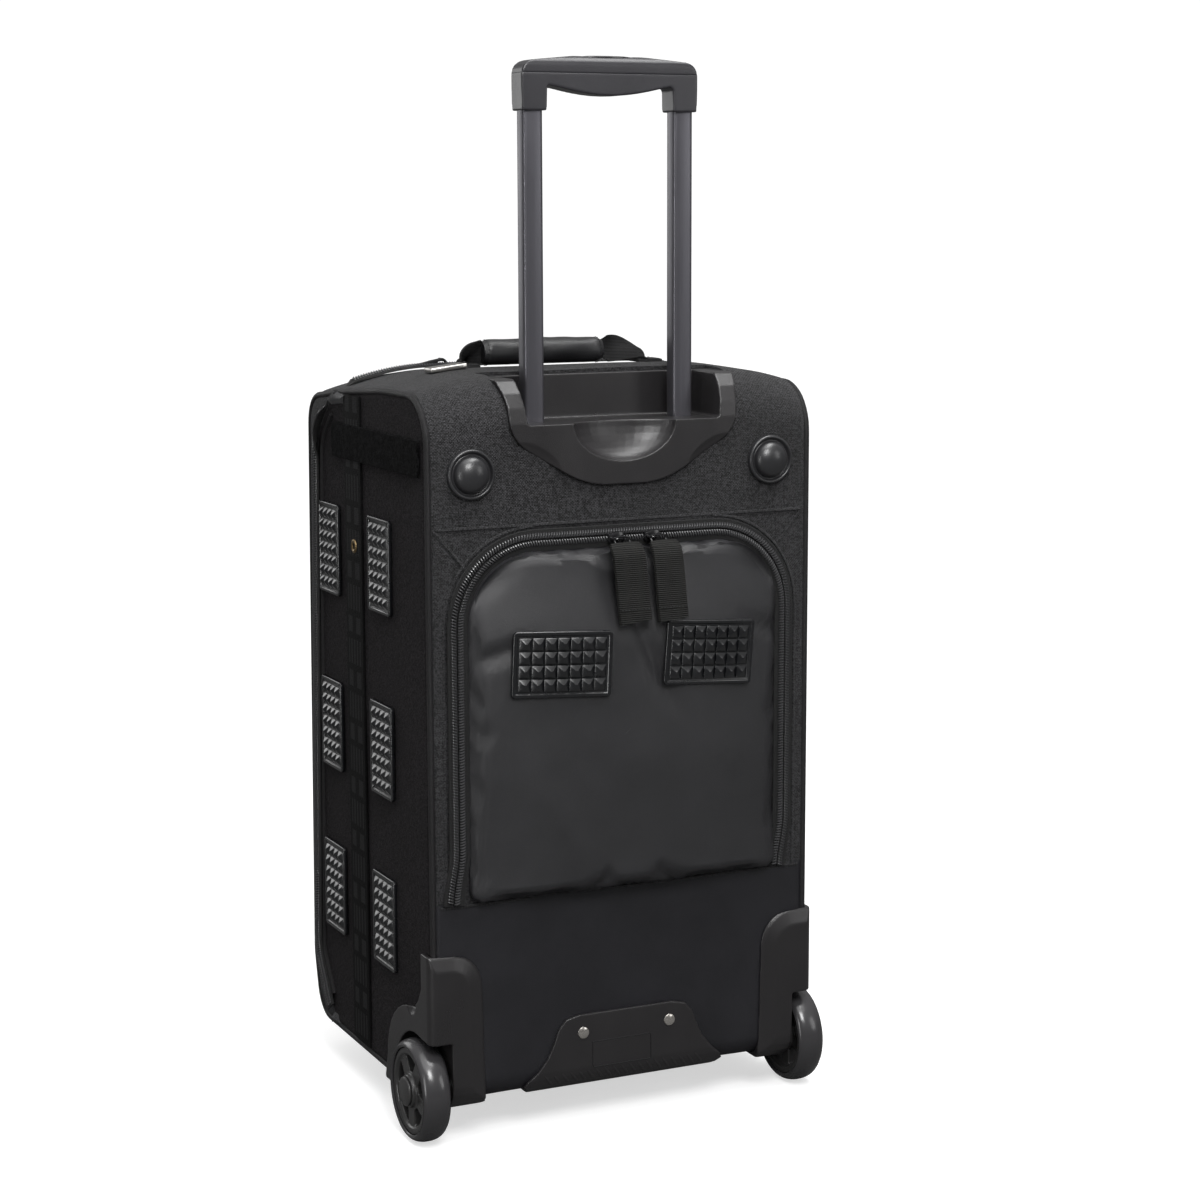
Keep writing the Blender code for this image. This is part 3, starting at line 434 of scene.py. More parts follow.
def placed(obj, body, mats, uv=True, angle=40, replaces=()):
    """Puts a finished mesh into the scene on its body."""
    if obj.name not in bpy.context.scene.collection.objects:
        bpy.context.scene.collection.objects.link(obj)
    if mats:
        obj.data.materials.clear()
        for name in (mats if isinstance(mats, (list, tuple)) else [mats]):
            obj.data.materials.append(MAT[name])
    if uv:
        box_uv(obj)
    obj.data.shade_smooth()
    obj.data.set_sharp_from_angle(angle=math.radians(angle))
    if body:
        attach(obj, body)
    if replaces:
        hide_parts(*replaces)
    return obj


def from_bmesh(name, work):
    bmesh.ops.recalc_face_normals(work, faces=work.faces)
    mesh = bpy.data.meshes.new(name)
    work.to_mesh(mesh)
    work.free()
    return bpy.data.objects.new(name, mesh)


def from_lists(name, verts, faces):
    mesh = bpy.data.meshes.new(name)
    mesh.from_pydata([tuple(v) for v in verts], [], faces)
    mesh.update()
    return bpy.data.objects.new(name, mesh)


def add_grid(work, rows):
    """A sheet of faces through rows of points."""
    made = [[work.verts.new(p) for p in row] for row in rows]
    for upper, lower in zip(made, made[1:]):
        for k in range(len(upper) - 1):
            work.faces.new((upper[k], upper[k + 1], lower[k + 1], lower[k]))
    return made


def square_to(lift, along):
    """The direction nearest to lift that is square to along."""
    return (lift - along * lift.dot(along)).normalized()


def frames_along(path, closed=False):
    """(point, along, side, up) at each point of a 3-D path."""
    points = [Vector(p) for p in path]
    count = len(points)
    found = []
    last = None
    for i, point in enumerate(points):
        before = points[i - 1] if closed or i else point
        after = points[(i + 1) % count] if closed or i < count - 1 else point
        along = (after - before).normalized()
        if last is None:
            last = Vector((0, 0, 1)) if abs(along.z) < 0.9 else Vector((1, 0, 0))
        last = square_to(last, along)
        found.append((point, along, along.cross(last), last))
    return found


def sweep(name, path, section, closed=False, ups=None, scale=None):
    """A section of (side, up) points swept along a path, with closed ends."""
    found = frames_along(path, closed)
    verts, faces = [], []
    size = len(section)
    for i, (point, along, side, lift) in enumerate(found):
        if ups:
            lift = square_to(Vector(ups[i]), along)
            side = along.cross(lift)
        grow = scale[i] if scale else 1.0
        verts += [point + side * (a * grow) + lift * (b * grow) for a, b in section]
    rings = len(found)
    for i in range(rings if closed else rings - 1):
        j = (i + 1) % rings
        for k in range(size):
            m = (k + 1) % size
            faces.append((i * size + k, i * size + m, j * size + m, j * size + k))
    if not closed:
        faces.append(tuple(range(size))[::-1])
        faces.append(tuple((rings - 1) * size + k for k in range(size)))
    obj = from_lists(name, verts, faces)
    outward(obj)
    return obj


def circle(radius, steps=10, flat=1.0):
    angles = [2 * math.pi * k / steps for k in range(steps)]
    return [(radius * math.cos(a), radius * flat * math.sin(a)) for a in angles]


def strip(width, thick, bow=0.0):
    """The section of a flat strap, with rounded edges."""
    half = width / 2
    edge = thick * 0.35
    top = [
        (half - edge, thick), (half * 0.5, thick + bow), (0, thick + bow * 1.2), (-half * 0.5, thick + bow),
        (edge - half, thick),
    ]
    return [(half, thick * 0.35)] + top + [(-half, thick * 0.35), (-half, 0), (half, 0)]


def joined(name, objects):
    """One mesh of several, keeping each one's material slots."""
    verts, faces, mats, slots = [], [], [], []
    for obj in objects:
        base = len(verts)
        lookup = []
        for mat in obj.data.materials:
            if mat not in slots:
                slots.append(mat)
            lookup.append(slots.index(mat))
        verts += [obj.matrix_world @ v.co for v in obj.data.vertices]
        for face in obj.data.polygons:
            faces.append(tuple(base + i for i in face.vertices))
            mats.append(lookup[face.material_index] if lookup else 0)
        bpy.data.objects.remove(obj)
    made = from_lists(name, verts, faces)
    for mat in slots:
        made.data.materials.append(mat)
    made.data.polygons.foreach_set("material_index", mats)
    return made


def bridge(work, rings):
    """Faces between successive closed rings of vertices."""
    for lower, upper in zip(rings, rings[1:]):
        for k in range(len(lower)):
            m = (k + 1) % len(lower)
            work.faces.new((lower[k], lower[m], upper[m], upper[k]))


def copies(name, template, spots):
    """Many small copies of one mesh of (verts, faces), placed by matrices, as one mesh."""
    verts, faces = [], []
    for spot in spots:
        base = len(verts)
        verts += [spot @ Vector(v) for v in template[0]]
        faces += [tuple(base + i for i in face) for face in template[1]]
    return from_lists(name, verts, faces)


def stitch(half, top, rise):
    """A short raised stitch: (verts, faces) of a ridge lying along X."""
    foot = 0.0003
    verts = [(-half, -foot, 0), (-half, foot, 0), (half, foot, 0), (half, -foot, 0), (-top, 0, rise), (top, 0, rise)]
    return verts, [(0, 1, 2, 3), (0, 3, 5, 4), (1, 4, 5, 2), (0, 4, 1), (3, 2, 5)]


def sewn(name, body, template, spots):
    """A row of stitches."""
    made = copies(name, template, spots)
    outward(made)
    placed(made, body, "thread")


def basis(point, along, side, lift):
    """A matrix with X along, Y to the side and Z up at a point."""
    made = Matrix((along, side, lift)).transposed().to_4x4()
    made.translation = point
    return made


def applied(obj):
    """The object with its modifiers worked into its mesh."""
    if obj.name not in bpy.context.scene.collection.objects:
        bpy.context.scene.collection.objects.link(obj)
    bpy.context.view_layer.update()
    graph = bpy.context.evaluated_depsgraph_get()
    mesh = bpy.data.meshes.new_from_object(obj.evaluated_get(graph))
    obj.modifiers.clear()
    obj.data = mesh
    return obj


def extruded(name, outline, low, high, axis):
    """A closed outline extruded along an axis, as a cutter or a plain plate."""
    order = {"X": (2, 0, 1), "Y": (0, 2, 1), "Z": (0, 1, 2)}[axis]
    verts = []
    for level in (low, high):
        for a, b in outline:
            spot = (a, b, level)
            verts.append(tuple(spot[k] for k in order))
    count = len(outline)
    faces = [tuple(range(count))[::-1], tuple(range(count, 2 * count))]
    faces += [(k, (k + 1) % count, count + (k + 1) % count, count + k) for k in range(count)]
    work = bmesh.new()
    made = [work.verts.new(v) for v in verts]
    for face in faces:
        work.faces.new([made[i] for i in face])
    return from_bmesh(name, work)


def carve(obj, cutters, operation="DIFFERENCE"):
    for cutter in cutters:
        bpy.context.scene.collection.objects.link(cutter)
        change = obj.modifiers.new("cut", "BOOLEAN")
        change.operation = operation
        change.solver = "EXACT"
        change.object = cutter
    applied(obj)
    for cutter in cutters:
        bpy.data.objects.remove(cutter)
    return obj


def add_wall(obj, thickness):
    """Gives a sheet an inner side, in the material slot after its own."""
    wall = obj.modifiers.new("wall", "SOLIDIFY")
    wall.thickness = thickness
    wall.offset = -1
    wall.material_offset = 1


def bevelled(obj, width, segments, angle):
    """Rounds off the edges sharper than an angle in degrees."""
    edges = obj.modifiers.new("edges", "BEVEL")
    edges.width = width
    edges.segments = segments
    edges.limit_method = "ANGLE"
    edges.angle_limit = math.radians(angle)
    applied(obj)


def refined(name, slot_name, width, segments=3, angle=32, suffix="_finished"):
    """A CAD node with its edges rounded off, standing for the plain one."""
    source = NODES[name]
    work = bmesh.new()
    work.from_mesh(source.data)
    bmesh.ops.remove_doubles(work, verts=work.verts, dist=0.000004)
    bmesh.ops.dissolve_limit(work, angle_limit=math.radians(0.4), verts=work.verts, edges=work.edges)
    obj = from_bmesh(name + suffix, work)
    if width:
        bevelled(obj, width, segments, angle)
    return placed(obj, BODY_OF[name], slot_name, True, 40, (name,))


def moulded_from(name, slot_name, voxel, passes, cutters=(), keepers=()):
    """A CAD node cut to its finer shape, with its edges rounded as a moulding's are."""
    work = bmesh.new()
    work.from_mesh(NODES[name].data)
    bmesh.ops.remove_doubles(work, verts=work.verts, dist=0.000004)
    obj = from_bmesh(name + "_moulded", work)
    if keepers:
        carve(obj, keepers, "INTERSECT")
    if cutters:
        carve(obj, cutters)
    fine = obj.modifiers.new("fine", "REMESH")
    fine.mode = "VOXEL"
    fine.voxel_size = voxel * 1.0
    soft = obj.modifiers.new("soft", "SMOOTH")
    soft.factor = 0.5
    soft.iterations = passes
    applied(obj)
    return placed(obj, BODY_OF[name], slot_name, True, 70, (name,))


def ball(name, centre, radii, turn=Matrix.Identity(4)):
    work = bmesh.new()
    bmesh.ops.create_uvsphere(work, u_segments=40, v_segments=24, radius=1.0)
    obj = from_bmesh(name, work)
    obj.data.transform(Matrix.Translation(centre) @ turn @ Matrix.Diagonal((*radii, 1)))
    return obj


def set_at(spot, angle, axis):
    """A matrix that turns about an axis and then moves to a spot."""
    return Matrix.Translation(spot) @ Matrix.Rotation(angle, 4, axis)


# Bag body and lid -----------------------------------------------------------------
def crossing():
    """Stations across the bag: (x, how far the surface has turned in under the piping)."""
    arc_steps = 5
    edge = []
    for k in range(arc_steps + 1):
        angle = math.pi / 2 * (1 - k / arc_steps)
        edge.append((HALF_W - CORNER_R * (1 - math.sin(angle)), CORNER_R * (1 - math.cos(angle))))
    middle = list(np.linspace(HALF_W - CORNER_R, CORNER_R - HALF_W, 50)[1:-1])
    return edge + [(x, 0.0) for x in middle] + [(-x, turn) for x, turn in edge[::-1]]


def normals_2d(path):
    found = []
    for i in range(len(path)):
        a, b = path[max(i - 1, 0)], path[min(i + 1, len(path) - 1)]
        along = (b - a).normalized()
        found.append(Vector((along.y, -along.x)))
    return found


class Skin:
    """One soft part of the bag: the strip that runs round it, and its two side faces."""

    def __init__(self, middle, side, count, turn):
        self.count = count
        self.middle = resampled(middle, count)
        self.side = resampled(side, count)
        self.opening = resampled(OPENING, count)
        self.turn = turn

    def line(self, x):
        share = max((abs(x) - TOP_BEND_X) / (HALF_W - TOP_BEND_X), 0.0) ** 2
        return [a.lerp(b, share) for a, b in zip(self.middle, self.side)]

    def lifted(self, x, inset):
        """The strip's points at one station across the bag."""
        line = self.line(x)
        row = []
        for i, (spot, out) in enumerate(zip(line, normals_2d(line))):
            out = out * self.turn
            ease = smooth(min(i, self.count - 1 - i), 0, 5)
            wave = noise.noise(Vector((x * 9, spot.x * 7, spot.y * 6.0 + 3))) * 0.0016 * ease
            soft = smooth(HALF_W - abs(x), 0.004, 0.03)
            at = spot - out * (inset - wave * soft)
            row.append(Vector((x, at.x, at.y)))
        return row

    def side_rows(self, side, steps):
        """The side face, from the zip's line to the piping."""
        line = self.line(HALF_W)
        outs = normals_2d(line)
        rows = []
        for k in range(steps + 1):
            share = k / steps
            row = []
            for i in range(self.count):
                edge = line[i] - outs[i] * self.turn * CORNER_R
                spot = self.opening[i].lerp(edge, share)
                away = min((spot - self.opening[i]).length, (spot - edge).length)
                wave = noise.noise(Vector((spot.x * 11, spot.y * 6, side * 4.0))) * 0.0011
                x = HALF_W + (wave - 0.0007) * smooth(away, 0.0, 0.03)
                row.append(Vector((side * x, spot.x, spot.y)))
            rows.append(row)
        return rows

    def build(self, name, steps, material_at, cutters):
        work = bmesh.new()
        stations = crossing()
        add_grid(work, [self.lifted(x, turn) for x, turn in stations])
        for side in (1, -1):
            add_grid(work, self.side_rows(side, steps))
        bmesh.ops.remove_doubles(work, verts=work.verts, dist=0.00002)
        dead = [f for f in work.faces if f.calc_area() < 1e-10]
        bmesh.ops.delete(work, geom=dead, context="FACES")
        obj = from_bmesh(name, work)
        for face in obj.data.polygons:
            face.material_index = material_at(face)
        add_wall(obj, SHELL_WALL)
        for slot_name in ("weave", "lining", "side", "lining", "lower", "lining"):
            obj.data.materials.append(MAT[slot_name])
        applied(obj)
        outward(obj)
        if cutters:
            carve(obj, cutters)
        return obj


def outward(obj):
    work = bmesh.new()
    work.from_mesh(obj.data)
    bmesh.ops.recalc_face_normals(work, faces=work.faces)
    work.to_mesh(obj.data)
    work.free()


SHELL = Skin(MID_SHELL, SIDE_SHELL, 170, -1)
LID = Skin(MID_LID, SIDE_LID, 120, 1)


def shell_slot(face):
    spot, out = face.center, face.normal
    if abs(out.x) > 0.75:
        return 2
    low_back = spot.z < SEAM_Z and spot.y > 0.06
    return 4 if low_back or spot.z < 0.060 else 0


def lid_slot(face):
    return 4 if face.center.z < 0.060 else 0


def closed_outline(corners, growth=0.0, steps=6):
    """A closed outline of (a, b, radius) corners, moved outwards by growth."""
    count = len(corners)
    path = []
    for i in range(count):
        trio = [corners[i - 1], corners[i], corners[(i + 1) % count]]
        path += rounded_path([(trio[0][0], trio[0][1], 0), trio[1], (trio[2][0], trio[2][1], 0)], steps)[1:-1]
    area = sum(path[i - 1].x * path[i].y - path[i - 1].y * path[i].x for i in range(len(path)))
    sign = 1 if area > 0 else -1
    moved = []
    for i, here in enumerate(path):
        a = (here - path[i - 1]).normalized()
        b = (path[(i + 1) % len(path)] - here).normalized()
        middle = Vector((a.y, -a.x)) * sign + Vector((b.y, -b.x)) * sign
        moved.append(here + middle * (2 * growth / max(middle.length_squared, 0.2)))
    return moved


def cup_cutter():
    outline = closed_outline([
        (0.034, 0.5275, 0.075), (0.0985, 0.5660, 0.030), (0.1010, 0.5960, 0.020), (0.1080, 0.640, 0),
        (-0.1080, 0.640, 0), (-0.1010, 0.5960, 0.020), (-0.0985, 0.5660, 0.030), (-0.034, 0.5275, 0.075),
    ], -0.0006)
    return extruded("cup_cutter", [tuple(p) for p in outline], REAR_Y - 0.0465, BACK_Y + 0.02, "Y")


def notch_cutter(side):
    """Room for a wheel housing and its wheel."""
    path = [Vector((BACK_Y + 0.03, 0.100)), Vector((REAR_Y - 0.024, 0.1045))]
    for k in range(9):
        angle = math.radians(90 + 90 * k / 8)
        path.append(Vector((REAR_Y - 0.024 + 0.0525 * math.cos(angle), 0.052 + 0.0525 * math.sin(angle))))
    path += [Vector((REAR_Y - 0.0765, 0.0)), Vector((BACK_Y + 0.03, 0.0))]
    a, b = sorted((side * 0.1425, side * 0.20))
    return extruded("notch_cutter", [tuple(p) for p in path], a, b, "X")


def bag_body():
    cutters = [cup_cutter()] + [notch_cutter(side) for _, side in SIDES]
    shell = SHELL.build("bag_body", 22, shell_slot, cutters)
    placed(shell, "bag", None, True, 50, ("bag_shell",))
    lid = LID.build("lid_panel", 7, lid_slot, [])
    placed(lid, "lid", None, True, 50, ("front_lid",))


def piping():
    """A covered cord in each seam between the strip and the side faces."""
    for skin, body, name in ((SHELL, "bag", "body_piping"), (LID, "lid", "lid_piping")):
        for word, side in SIDES:
            line = skin.line(HALF_W)
            outs = normals_2d(line)
            inset = CORNER_R * (1 - math.cos(math.pi / 4)) - 0.0004
            x = HALF_W - CORNER_R * (1 - math.sin(math.pi / 4)) + 0.0004
            path = []
            for spot, out in zip(line, outs):
                at = spot - out * skin.turn * inset
                path.append(Vector((side * x, at.x, at.y)))
            if body == "bag":
                pieces = split_by(path, lambda p: not in_housing(p))
            else:
                pieces = [path]
            for number, piece in enumerate(pieces):
                if len(piece) > 4:
                    tube = sweep(f"{name}_{word}_{number}", piece, circle(0.0026, 10))
                    placed(tube, body, "piping")


def panel_edges():
    """A thinner cord along the front of each side panel, just behind the zip."""
    front = resampled(OPENING, 120)
    outs = [n if n.x > 0 else -n for n in normals_2d(front)]
    for word, side in SIDES:
        path = [Vector((side * (HALF_W + 0.0002), p.x + n.x * 0.0105, p.y + n.y * 0.0105)) for p, n in zip(front, outs)]
        path = [p for p in path if 0.058 < p.z < 0.574]
        placed(sweep("panel_edge_" + word, path, circle(0.0021, 8)), "bag", "piping")


def in_housing(p):
    """True where a wheel housing covers the bag's lower back corner."""
    return p.y > REAR_Y - 0.079 and p.z < 0.108 or p.y > 0.105 and p.z < 0.150


def split_by(path, wanted):
    pieces, current = [], []
    for p in path:
        if wanted(p):
            current.append(p)
        elif current:
            pieces.append(current)
            current = []
    if current:
        pieces.append(current)
    return pieces


# Zips -----------------------------------------------------------------------------
def tooth():
    """One turn of a nylon coil, lying across its row."""
    verts, faces = [], []
    half = 0.0026
    for a, tall, wide in ((-1.0, 0.25, 0.75), (-0.55, 0.95, 1.0), (0.3, 1.0, 1.0), (1.0, 0.35, 0.8)):
        for b, c in ((-1, 0), (-0.6, 0.85), (0.6, 0.85), (1, 0)):
            verts.append((b * 0.00066 * wide, a * half, c * 0.00215 * tall))
    for i in range(3):
        for k in range(3):
            faces.append((i * 4 + k, i * 4 + k + 1, i * 4 + 5 + k, i * 4 + 4 + k))
    faces.append((0, 3, 2, 1))
    faces.append((12, 13, 14, 15))
    return verts, faces


def at_turn(p):
    """Whether a spot is where the main zip goes under the fabric as it turns from a side to the top."""
    return abs(p.x) > HALF_W - 0.014 and p.z > 0.575


def zip_half(name, body, path, ups, row, level, tape=0.0085):
    """A row of coil on its tape beside a path; row is 1 or -1, the side of the path it lies on."""
    count = int(length_of(path) / ZIP_PITCH)
    dense = resampled(path, count)
    lifts = resampled([Vector(u) for u in ups], count)
    found = []
    for (point, along, _, _), lift in zip(frames_along(dense), lifts):
        lift = square_to(lift, along)
        found.append((point, along, along.cross(lift), lift))
    spots = []
    shift = ZIP_PITCH / 2 if row < 0 else 0.0
    for point, along, side, lift in found[1:-1]:
        if at_turn(point):
            continue
        centre = point + side * row * 0.0029 + lift * level + along * shift
        slant = (along * 0.32 * row + side).normalized()
        cross = slant.cross(lift).normalized()
        if row < 0:
            slant, cross = -slant, -cross
        spots.append(basis(centre, cross, slant, lift))
    coarse = found[::4] + [found[-1]]
    narrow = [0.12 if at_turn(f[0]) else 1.0 for f in coarse]
    line = [f[0] + f[2] * row * (tape * n / 2 + 0.0004) + f[3] * (level - 0.0014) for f, n in zip(coarse, narrow)]
    ribbon = sweep(name + "_tape", line, strip(tape, 0.0012), ups=[f[3] for f in coarse], scale=narrow)
    ribbon.data.materials.append(MAT["tape"])
    teeth = copies(name + "_teeth", tooth(), spots)
    outward(teeth)
    teeth.data.materials.append(MAT["nylon"])
    return placed(joined(name, [ribbon, teeth]), body, None, True, 60)


def main_zip_path():
    """The main zip's middle and its outward directions, from one lower corner over the top to the other."""
    path, ups = [], []
    side_line = resampled(OPENING, 110)[::-1]
    side_line = [p for p in side_line if p.y > 0.048]
    for p in side_line[:-3]:
        path.append(Vector((HALF_W + 0.0008, p.x, p.y)))
        ups.append(Vector((1, 0, 0)))
    corner = SHELL.line(HALF_W)[0]
    for k in range(1, 6):
        angle = math.radians(90 * k / 6)
        x = HALF_W - 0.010 * (1 - math.cos(angle))
        z = corner.y - 0.0095 * (1 - math.sin(angle)) + 0.0006
        path.append(Vector((x, corner.x + 0.0002, z)))
        ups.append(Vector((math.cos(angle), 0, math.sin(angle))))
    for x in np.linspace(HALF_W - 0.013, 0, 20):
        edge = SHELL.line(x)[0]
        path.append(Vector((x, edge.x, edge.y + 0.0006)))
        ups.append(Vector((0.06, 0, 1)))
    mirror = [Vector((-p.x, p.y, p.z)) for p in path[:-1]][::-1]
    mirror_ups = [Vector((-u.x, u.y, u.z)) for u in ups[:-1]][::-1]
    return path + mirror, ups + mirror_ups


def main_zip():
    path, ups = main_zip_path()
    zip_half("main_zip_body_half", "bag", path, ups, 1, 0.0028)
    zip_half("main_zip_lid_half", "lid", path, ups, -1, 0.0028)


def pocket_line(growth):
    """The pocket's outline from its lower +X corner over the top to its lower -X corner."""
    half = POCKET_HALF + growth
    top = POCKET_TOP_Z + growth
    radius = POCKET_R + growth
    foot = SEAM_Z + 0.001
    return rounded_path([(half, foot, 0), (half, top, radius), (-half, top, radius), (-half, foot, 0)], 14)


def bent(p):
    """The zip's lower ends lean as they go into the seam."""
    low = 1 - smooth(p.y, SEAM_Z, SEAM_Z + 0.045)
    return Vector((p.x + 0.0055 * low, BACK_Y + 0.0006, p.y))


def pocket_zip():
    line = [bent(p) for p in resampled(pocket_line(0.0082), 160)]
    up = [Vector((0, 1, 0))] * len(line)
    zip_half("pocket_zip_outer_half", "bag", line, up, -1, 0.0024, 0.0078)
    zip_half("pocket_zip_inner_half", "pocket", line, up, 1, 0.0024, 0.0092)


# Seams ----------------------------------------------------------------------------
def seam(name, path, ups, gap=0.0022, bead=0.0009):
    """A turned edge with a row of stitches beside it."""
    dense = resampled(path, max(int(length_of(path) / 0.006), 4))
    lifts = resampled([Vector(u) for u in ups], len(dense))
    rib = sweep(name + "_edge", dense, [(0.0014, 0), (0.0011, bead), (-0.0006, bead), (-0.0012, 0)], ups=lifts)
    rib.data.materials.append(MAT["weave"])
    spots = []
    fine = resampled(path, max(int(length_of(path) / 0.0038), 4))
    fine_ups = resampled([Vector(u) for u in ups], len(fine))
    for (point, along, _, _), lift in zip(frames_along(fine), fine_ups):
        lift = square_to(lift, along)
        side = along.cross(lift)
        spots.append(basis(point + side * gap + lift * 0.0002, along, side, lift))
    verts = []
    for a, tall in ((-0.0013, 0.1), (-0.0006, 0.00045), (0.0006, 0.00045), (0.0013, 0.1)):
        grow = 0.0002 if tall == 0.1 else 0.00032
        rise = 0.0 if tall == 0.1 else tall
        verts += [(a, -grow, 0), (a, 0, rise), (a, grow, 0)]
    faces = [(i * 3 + k, i * 3 + k + 1, i * 3 + k + 4, i * 3 + k + 3) for i in range(3) for k in range(2)]
    faces += [(i * 3 + 2, i * 3, i * 3 + 3, i * 3 + 5) for i in range(3)] + [(0, 2, 1), (9, 10, 11)]
    thread = copies(name + "_stitches", (verts, faces), spots)
    outward(thread)
    thread.data.materials.append(MAT["thread"])
    return placed(joined(name, [rib, thread]), "bag", None, True, 60)


def back_seams():
    out = Vector((0, 1, 0))
    y = BACK_Y - 0.0002

    def on_back(points):
        return [Vector((x, y, z)) for x, z in points]

    edge = HALF_W - 0.0075
    for name, start, z in (("upper_back_seam", edge, UPPER_SEAM_Z), ("lower_back_seam", -edge, SEAM_Z - 0.001)):
        seam(name, on_back([(start, z), (-start, z)]), [out, out])
    for word, side in SIDES:
        corner = [(side * edge, UPPER_SEAM_Z - 0.002), (side * (edge - 0.026), UPPER_SEAM_Z - 0.0335)]
        seam("corner_seam_" + word, on_back(corner), [out, out], 0.0020 * side, 0.0006)
        rim = [(p.x, p.y) for p in pocket_line(0.0190) if p.x * side > 0.072]
        seam("zip_surround_" + word, on_back(rim), [out] * len(rim), 0.0018, 0.0010)


# Rear pocket ----------------------------------------------------------------------
def pocket_ring(inset):
    """The pocket's outline at a distance inside its rim, always with the same number of points."""
    low, high = SEAM_Z + 0.0006 + inset, POCKET_TOP_Z - inset
    half = POCKET_HALF - inset
    small = max(0.011 - inset, 0.002)
    large = max(POCKET_R - inset, 0.002)
    foot = low + small
    sides = [
        [(half, foot, 0), (half, high, large), (0, high, 0)],
        [(0, high, 0), (-half, high, large), (-half, foot, 0)],
        [(-half, foot, 0), (-half, low, small), (0, low, 0)],
        [(0, low, 0), (half, low, small), (half, foot, 0)],
    ]
    ring = []
    for side, count in zip(sides, (62, 62, 34, 34)):
        ring += resampled(rounded_path(side, 10), count)[:-1]
    return ring


def pocket_panel():
    """The pocket's face: a full panel gathered at its rim, puckered at its corners and dented under the tabs."""
    low_y = POCKET_BASE_Y
    depth = POCKET_FACE_Y - low_y - 0.0012
    levels = [
        (0.0, 0.0), (0.0004, 0.26), (0.0012, 0.50), (0.0028, 0.72), (0.0052, 0.87), (0.0085, 0.96), (0.0140, 0.99),
    ]
    levels += [(0.0200 + 0.0055 * k, 1.0) for k in range(21)]
    work = bmesh.new()
    rings = []
    for inset, height in levels:
        rings.append([work.verts.new((p.x, low_y + depth * height, p.y)) for p in pocket_ring(inset + 0.0008)])
    last = work.verts.new((0, low_y + depth, (SEAM_Z + POCKET_TOP_Z) / 2))
    count = len(rings[0])
    bridge(work, rings)
    for k in range(count):
        work.faces.new((rings[-1][k], rings[-1][(k + 1) % count], last))
    obj = from_bmesh("pocket_panel", work)
    if not any(f.normal.y > 0.5 for f in obj.data.polygons):
        obj.data.flip_normals()
    bpy.context.scene.collection.objects.link(obj)
    rest = [v.co.copy() for v in obj.data.vertices]
    ripple(obj, low_y, rest)
    for v, was in zip(obj.data.vertices, rest):
        moved = v.co - was
        if moved.length > 0.007:
            v.co = was + moved.normalized() * 0.007
        v.co.y = dented(v.co, low_y)
    obj.data.update()
    add_wall(obj, POCKET_WALL)
    obj.data.materials.append(MAT["panel"])
    obj.data.materials.append(MAT["lining"])
    applied(obj)
    placed(obj, "pocket", None, True, 60, ("pocket_flap",))


def flattened(x):
    """The pocket's depth at a place across it, as a share of its depth in the middle."""
    return 1 - 0.58 * (abs(x) / POCKET_HALF) ** 2.5


def dented(spot, low_y):
    """Depth of the pocket's face with its folds, kept under the pads' plane."""
    raised = smooth(spot.y, low_y + 0.010, low_y + 0.022)
    across = spot.x + 0.004 + 0.42 * (0.418 - spot.z)
    fold = math.exp(-(across / 0.0085) ** 2) * smooth(spot.z, 0.330, 0.385) * (1 - smooth(spot.z, 0.425, 0.462))
    hollow = math.exp(-(spot.x / 0.040) ** 2) * smooth(spot.z, 0.395, 0.44)
    pucker = 0.0
    for x0, z0, lean in ((0.118, 0.455, 1.0), (-0.118, 0.455, -1.0), (-0.122, 0.405, -0.6), (0.122, 0.398, 0.5)):
        run = (spot.x - x0) * lean * 0.8 + (spot.z - z0)
        away = (spot.x - x0) * lean - (spot.z - z0) * 0.8
        pucker += math.exp(-(run / 0.006) ** 2) * math.exp(-(away / 0.022) ** 2)
    wave = noise.noise(Vector((spot.x * 14, spot.z * 11, 2.0))) * 0.0010
    crown = 0.0080 * smooth(spot.z, 0.400, 0.478) + 0.0035 * (1 - smooth(spot.z, 0.205, 0.330))
    highest = low_y + (POCKET_FACE_Y - low_y) * flattened(spot.x) - 0.0004
    full = min(low_y + (spot.y - low_y) * flattened(spot.x), highest - 0.0006)
    return min(full - raised * (0.0048 * fold + 0.0020 * hollow + 0.0042 * pucker + crown - wave), highest)


def ripple(obj, low_y, rest):
    """Lets the panel swell and gather with its rim held, then keeps the shape."""
    held = obj.vertex_groups.new(name="held")
    held.add([i for i, co in enumerate(rest) if co.y < low_y + 0.003], 1.0, "REPLACE")
    change = obj.modifiers.new("swell", "CLOTH")
    settings = change.settings
    settings.quality = 6
    settings.mass = 0.25
    settings.tension_stiffness = 18
    settings.compression_stiffness = 18
    settings.shear_stiffness = 8
    settings.bending_stiffness = 0.6
    settings.use_pressure = True
    settings.uniform_pressure_force = 2.5
    settings.shrink_min = -0.025
    settings.vertex_group_mass = "held"
    settings.effector_weights.gravity = 0
    change.collision_settings.use_collision = False
    scene = bpy.context.scene
    for number in range(1, 19):
        scene.frame_set(number)
    graph = bpy.context.evaluated_depsgraph_get()
    shaped = obj.evaluated_get(graph).data
    spots = [v.co.copy() for v in shaped.vertices]
    obj.modifiers.clear()
    for v, spot in zip(obj.data.vertices, spots):
        v.co = spot
    scene.frame_set(1)


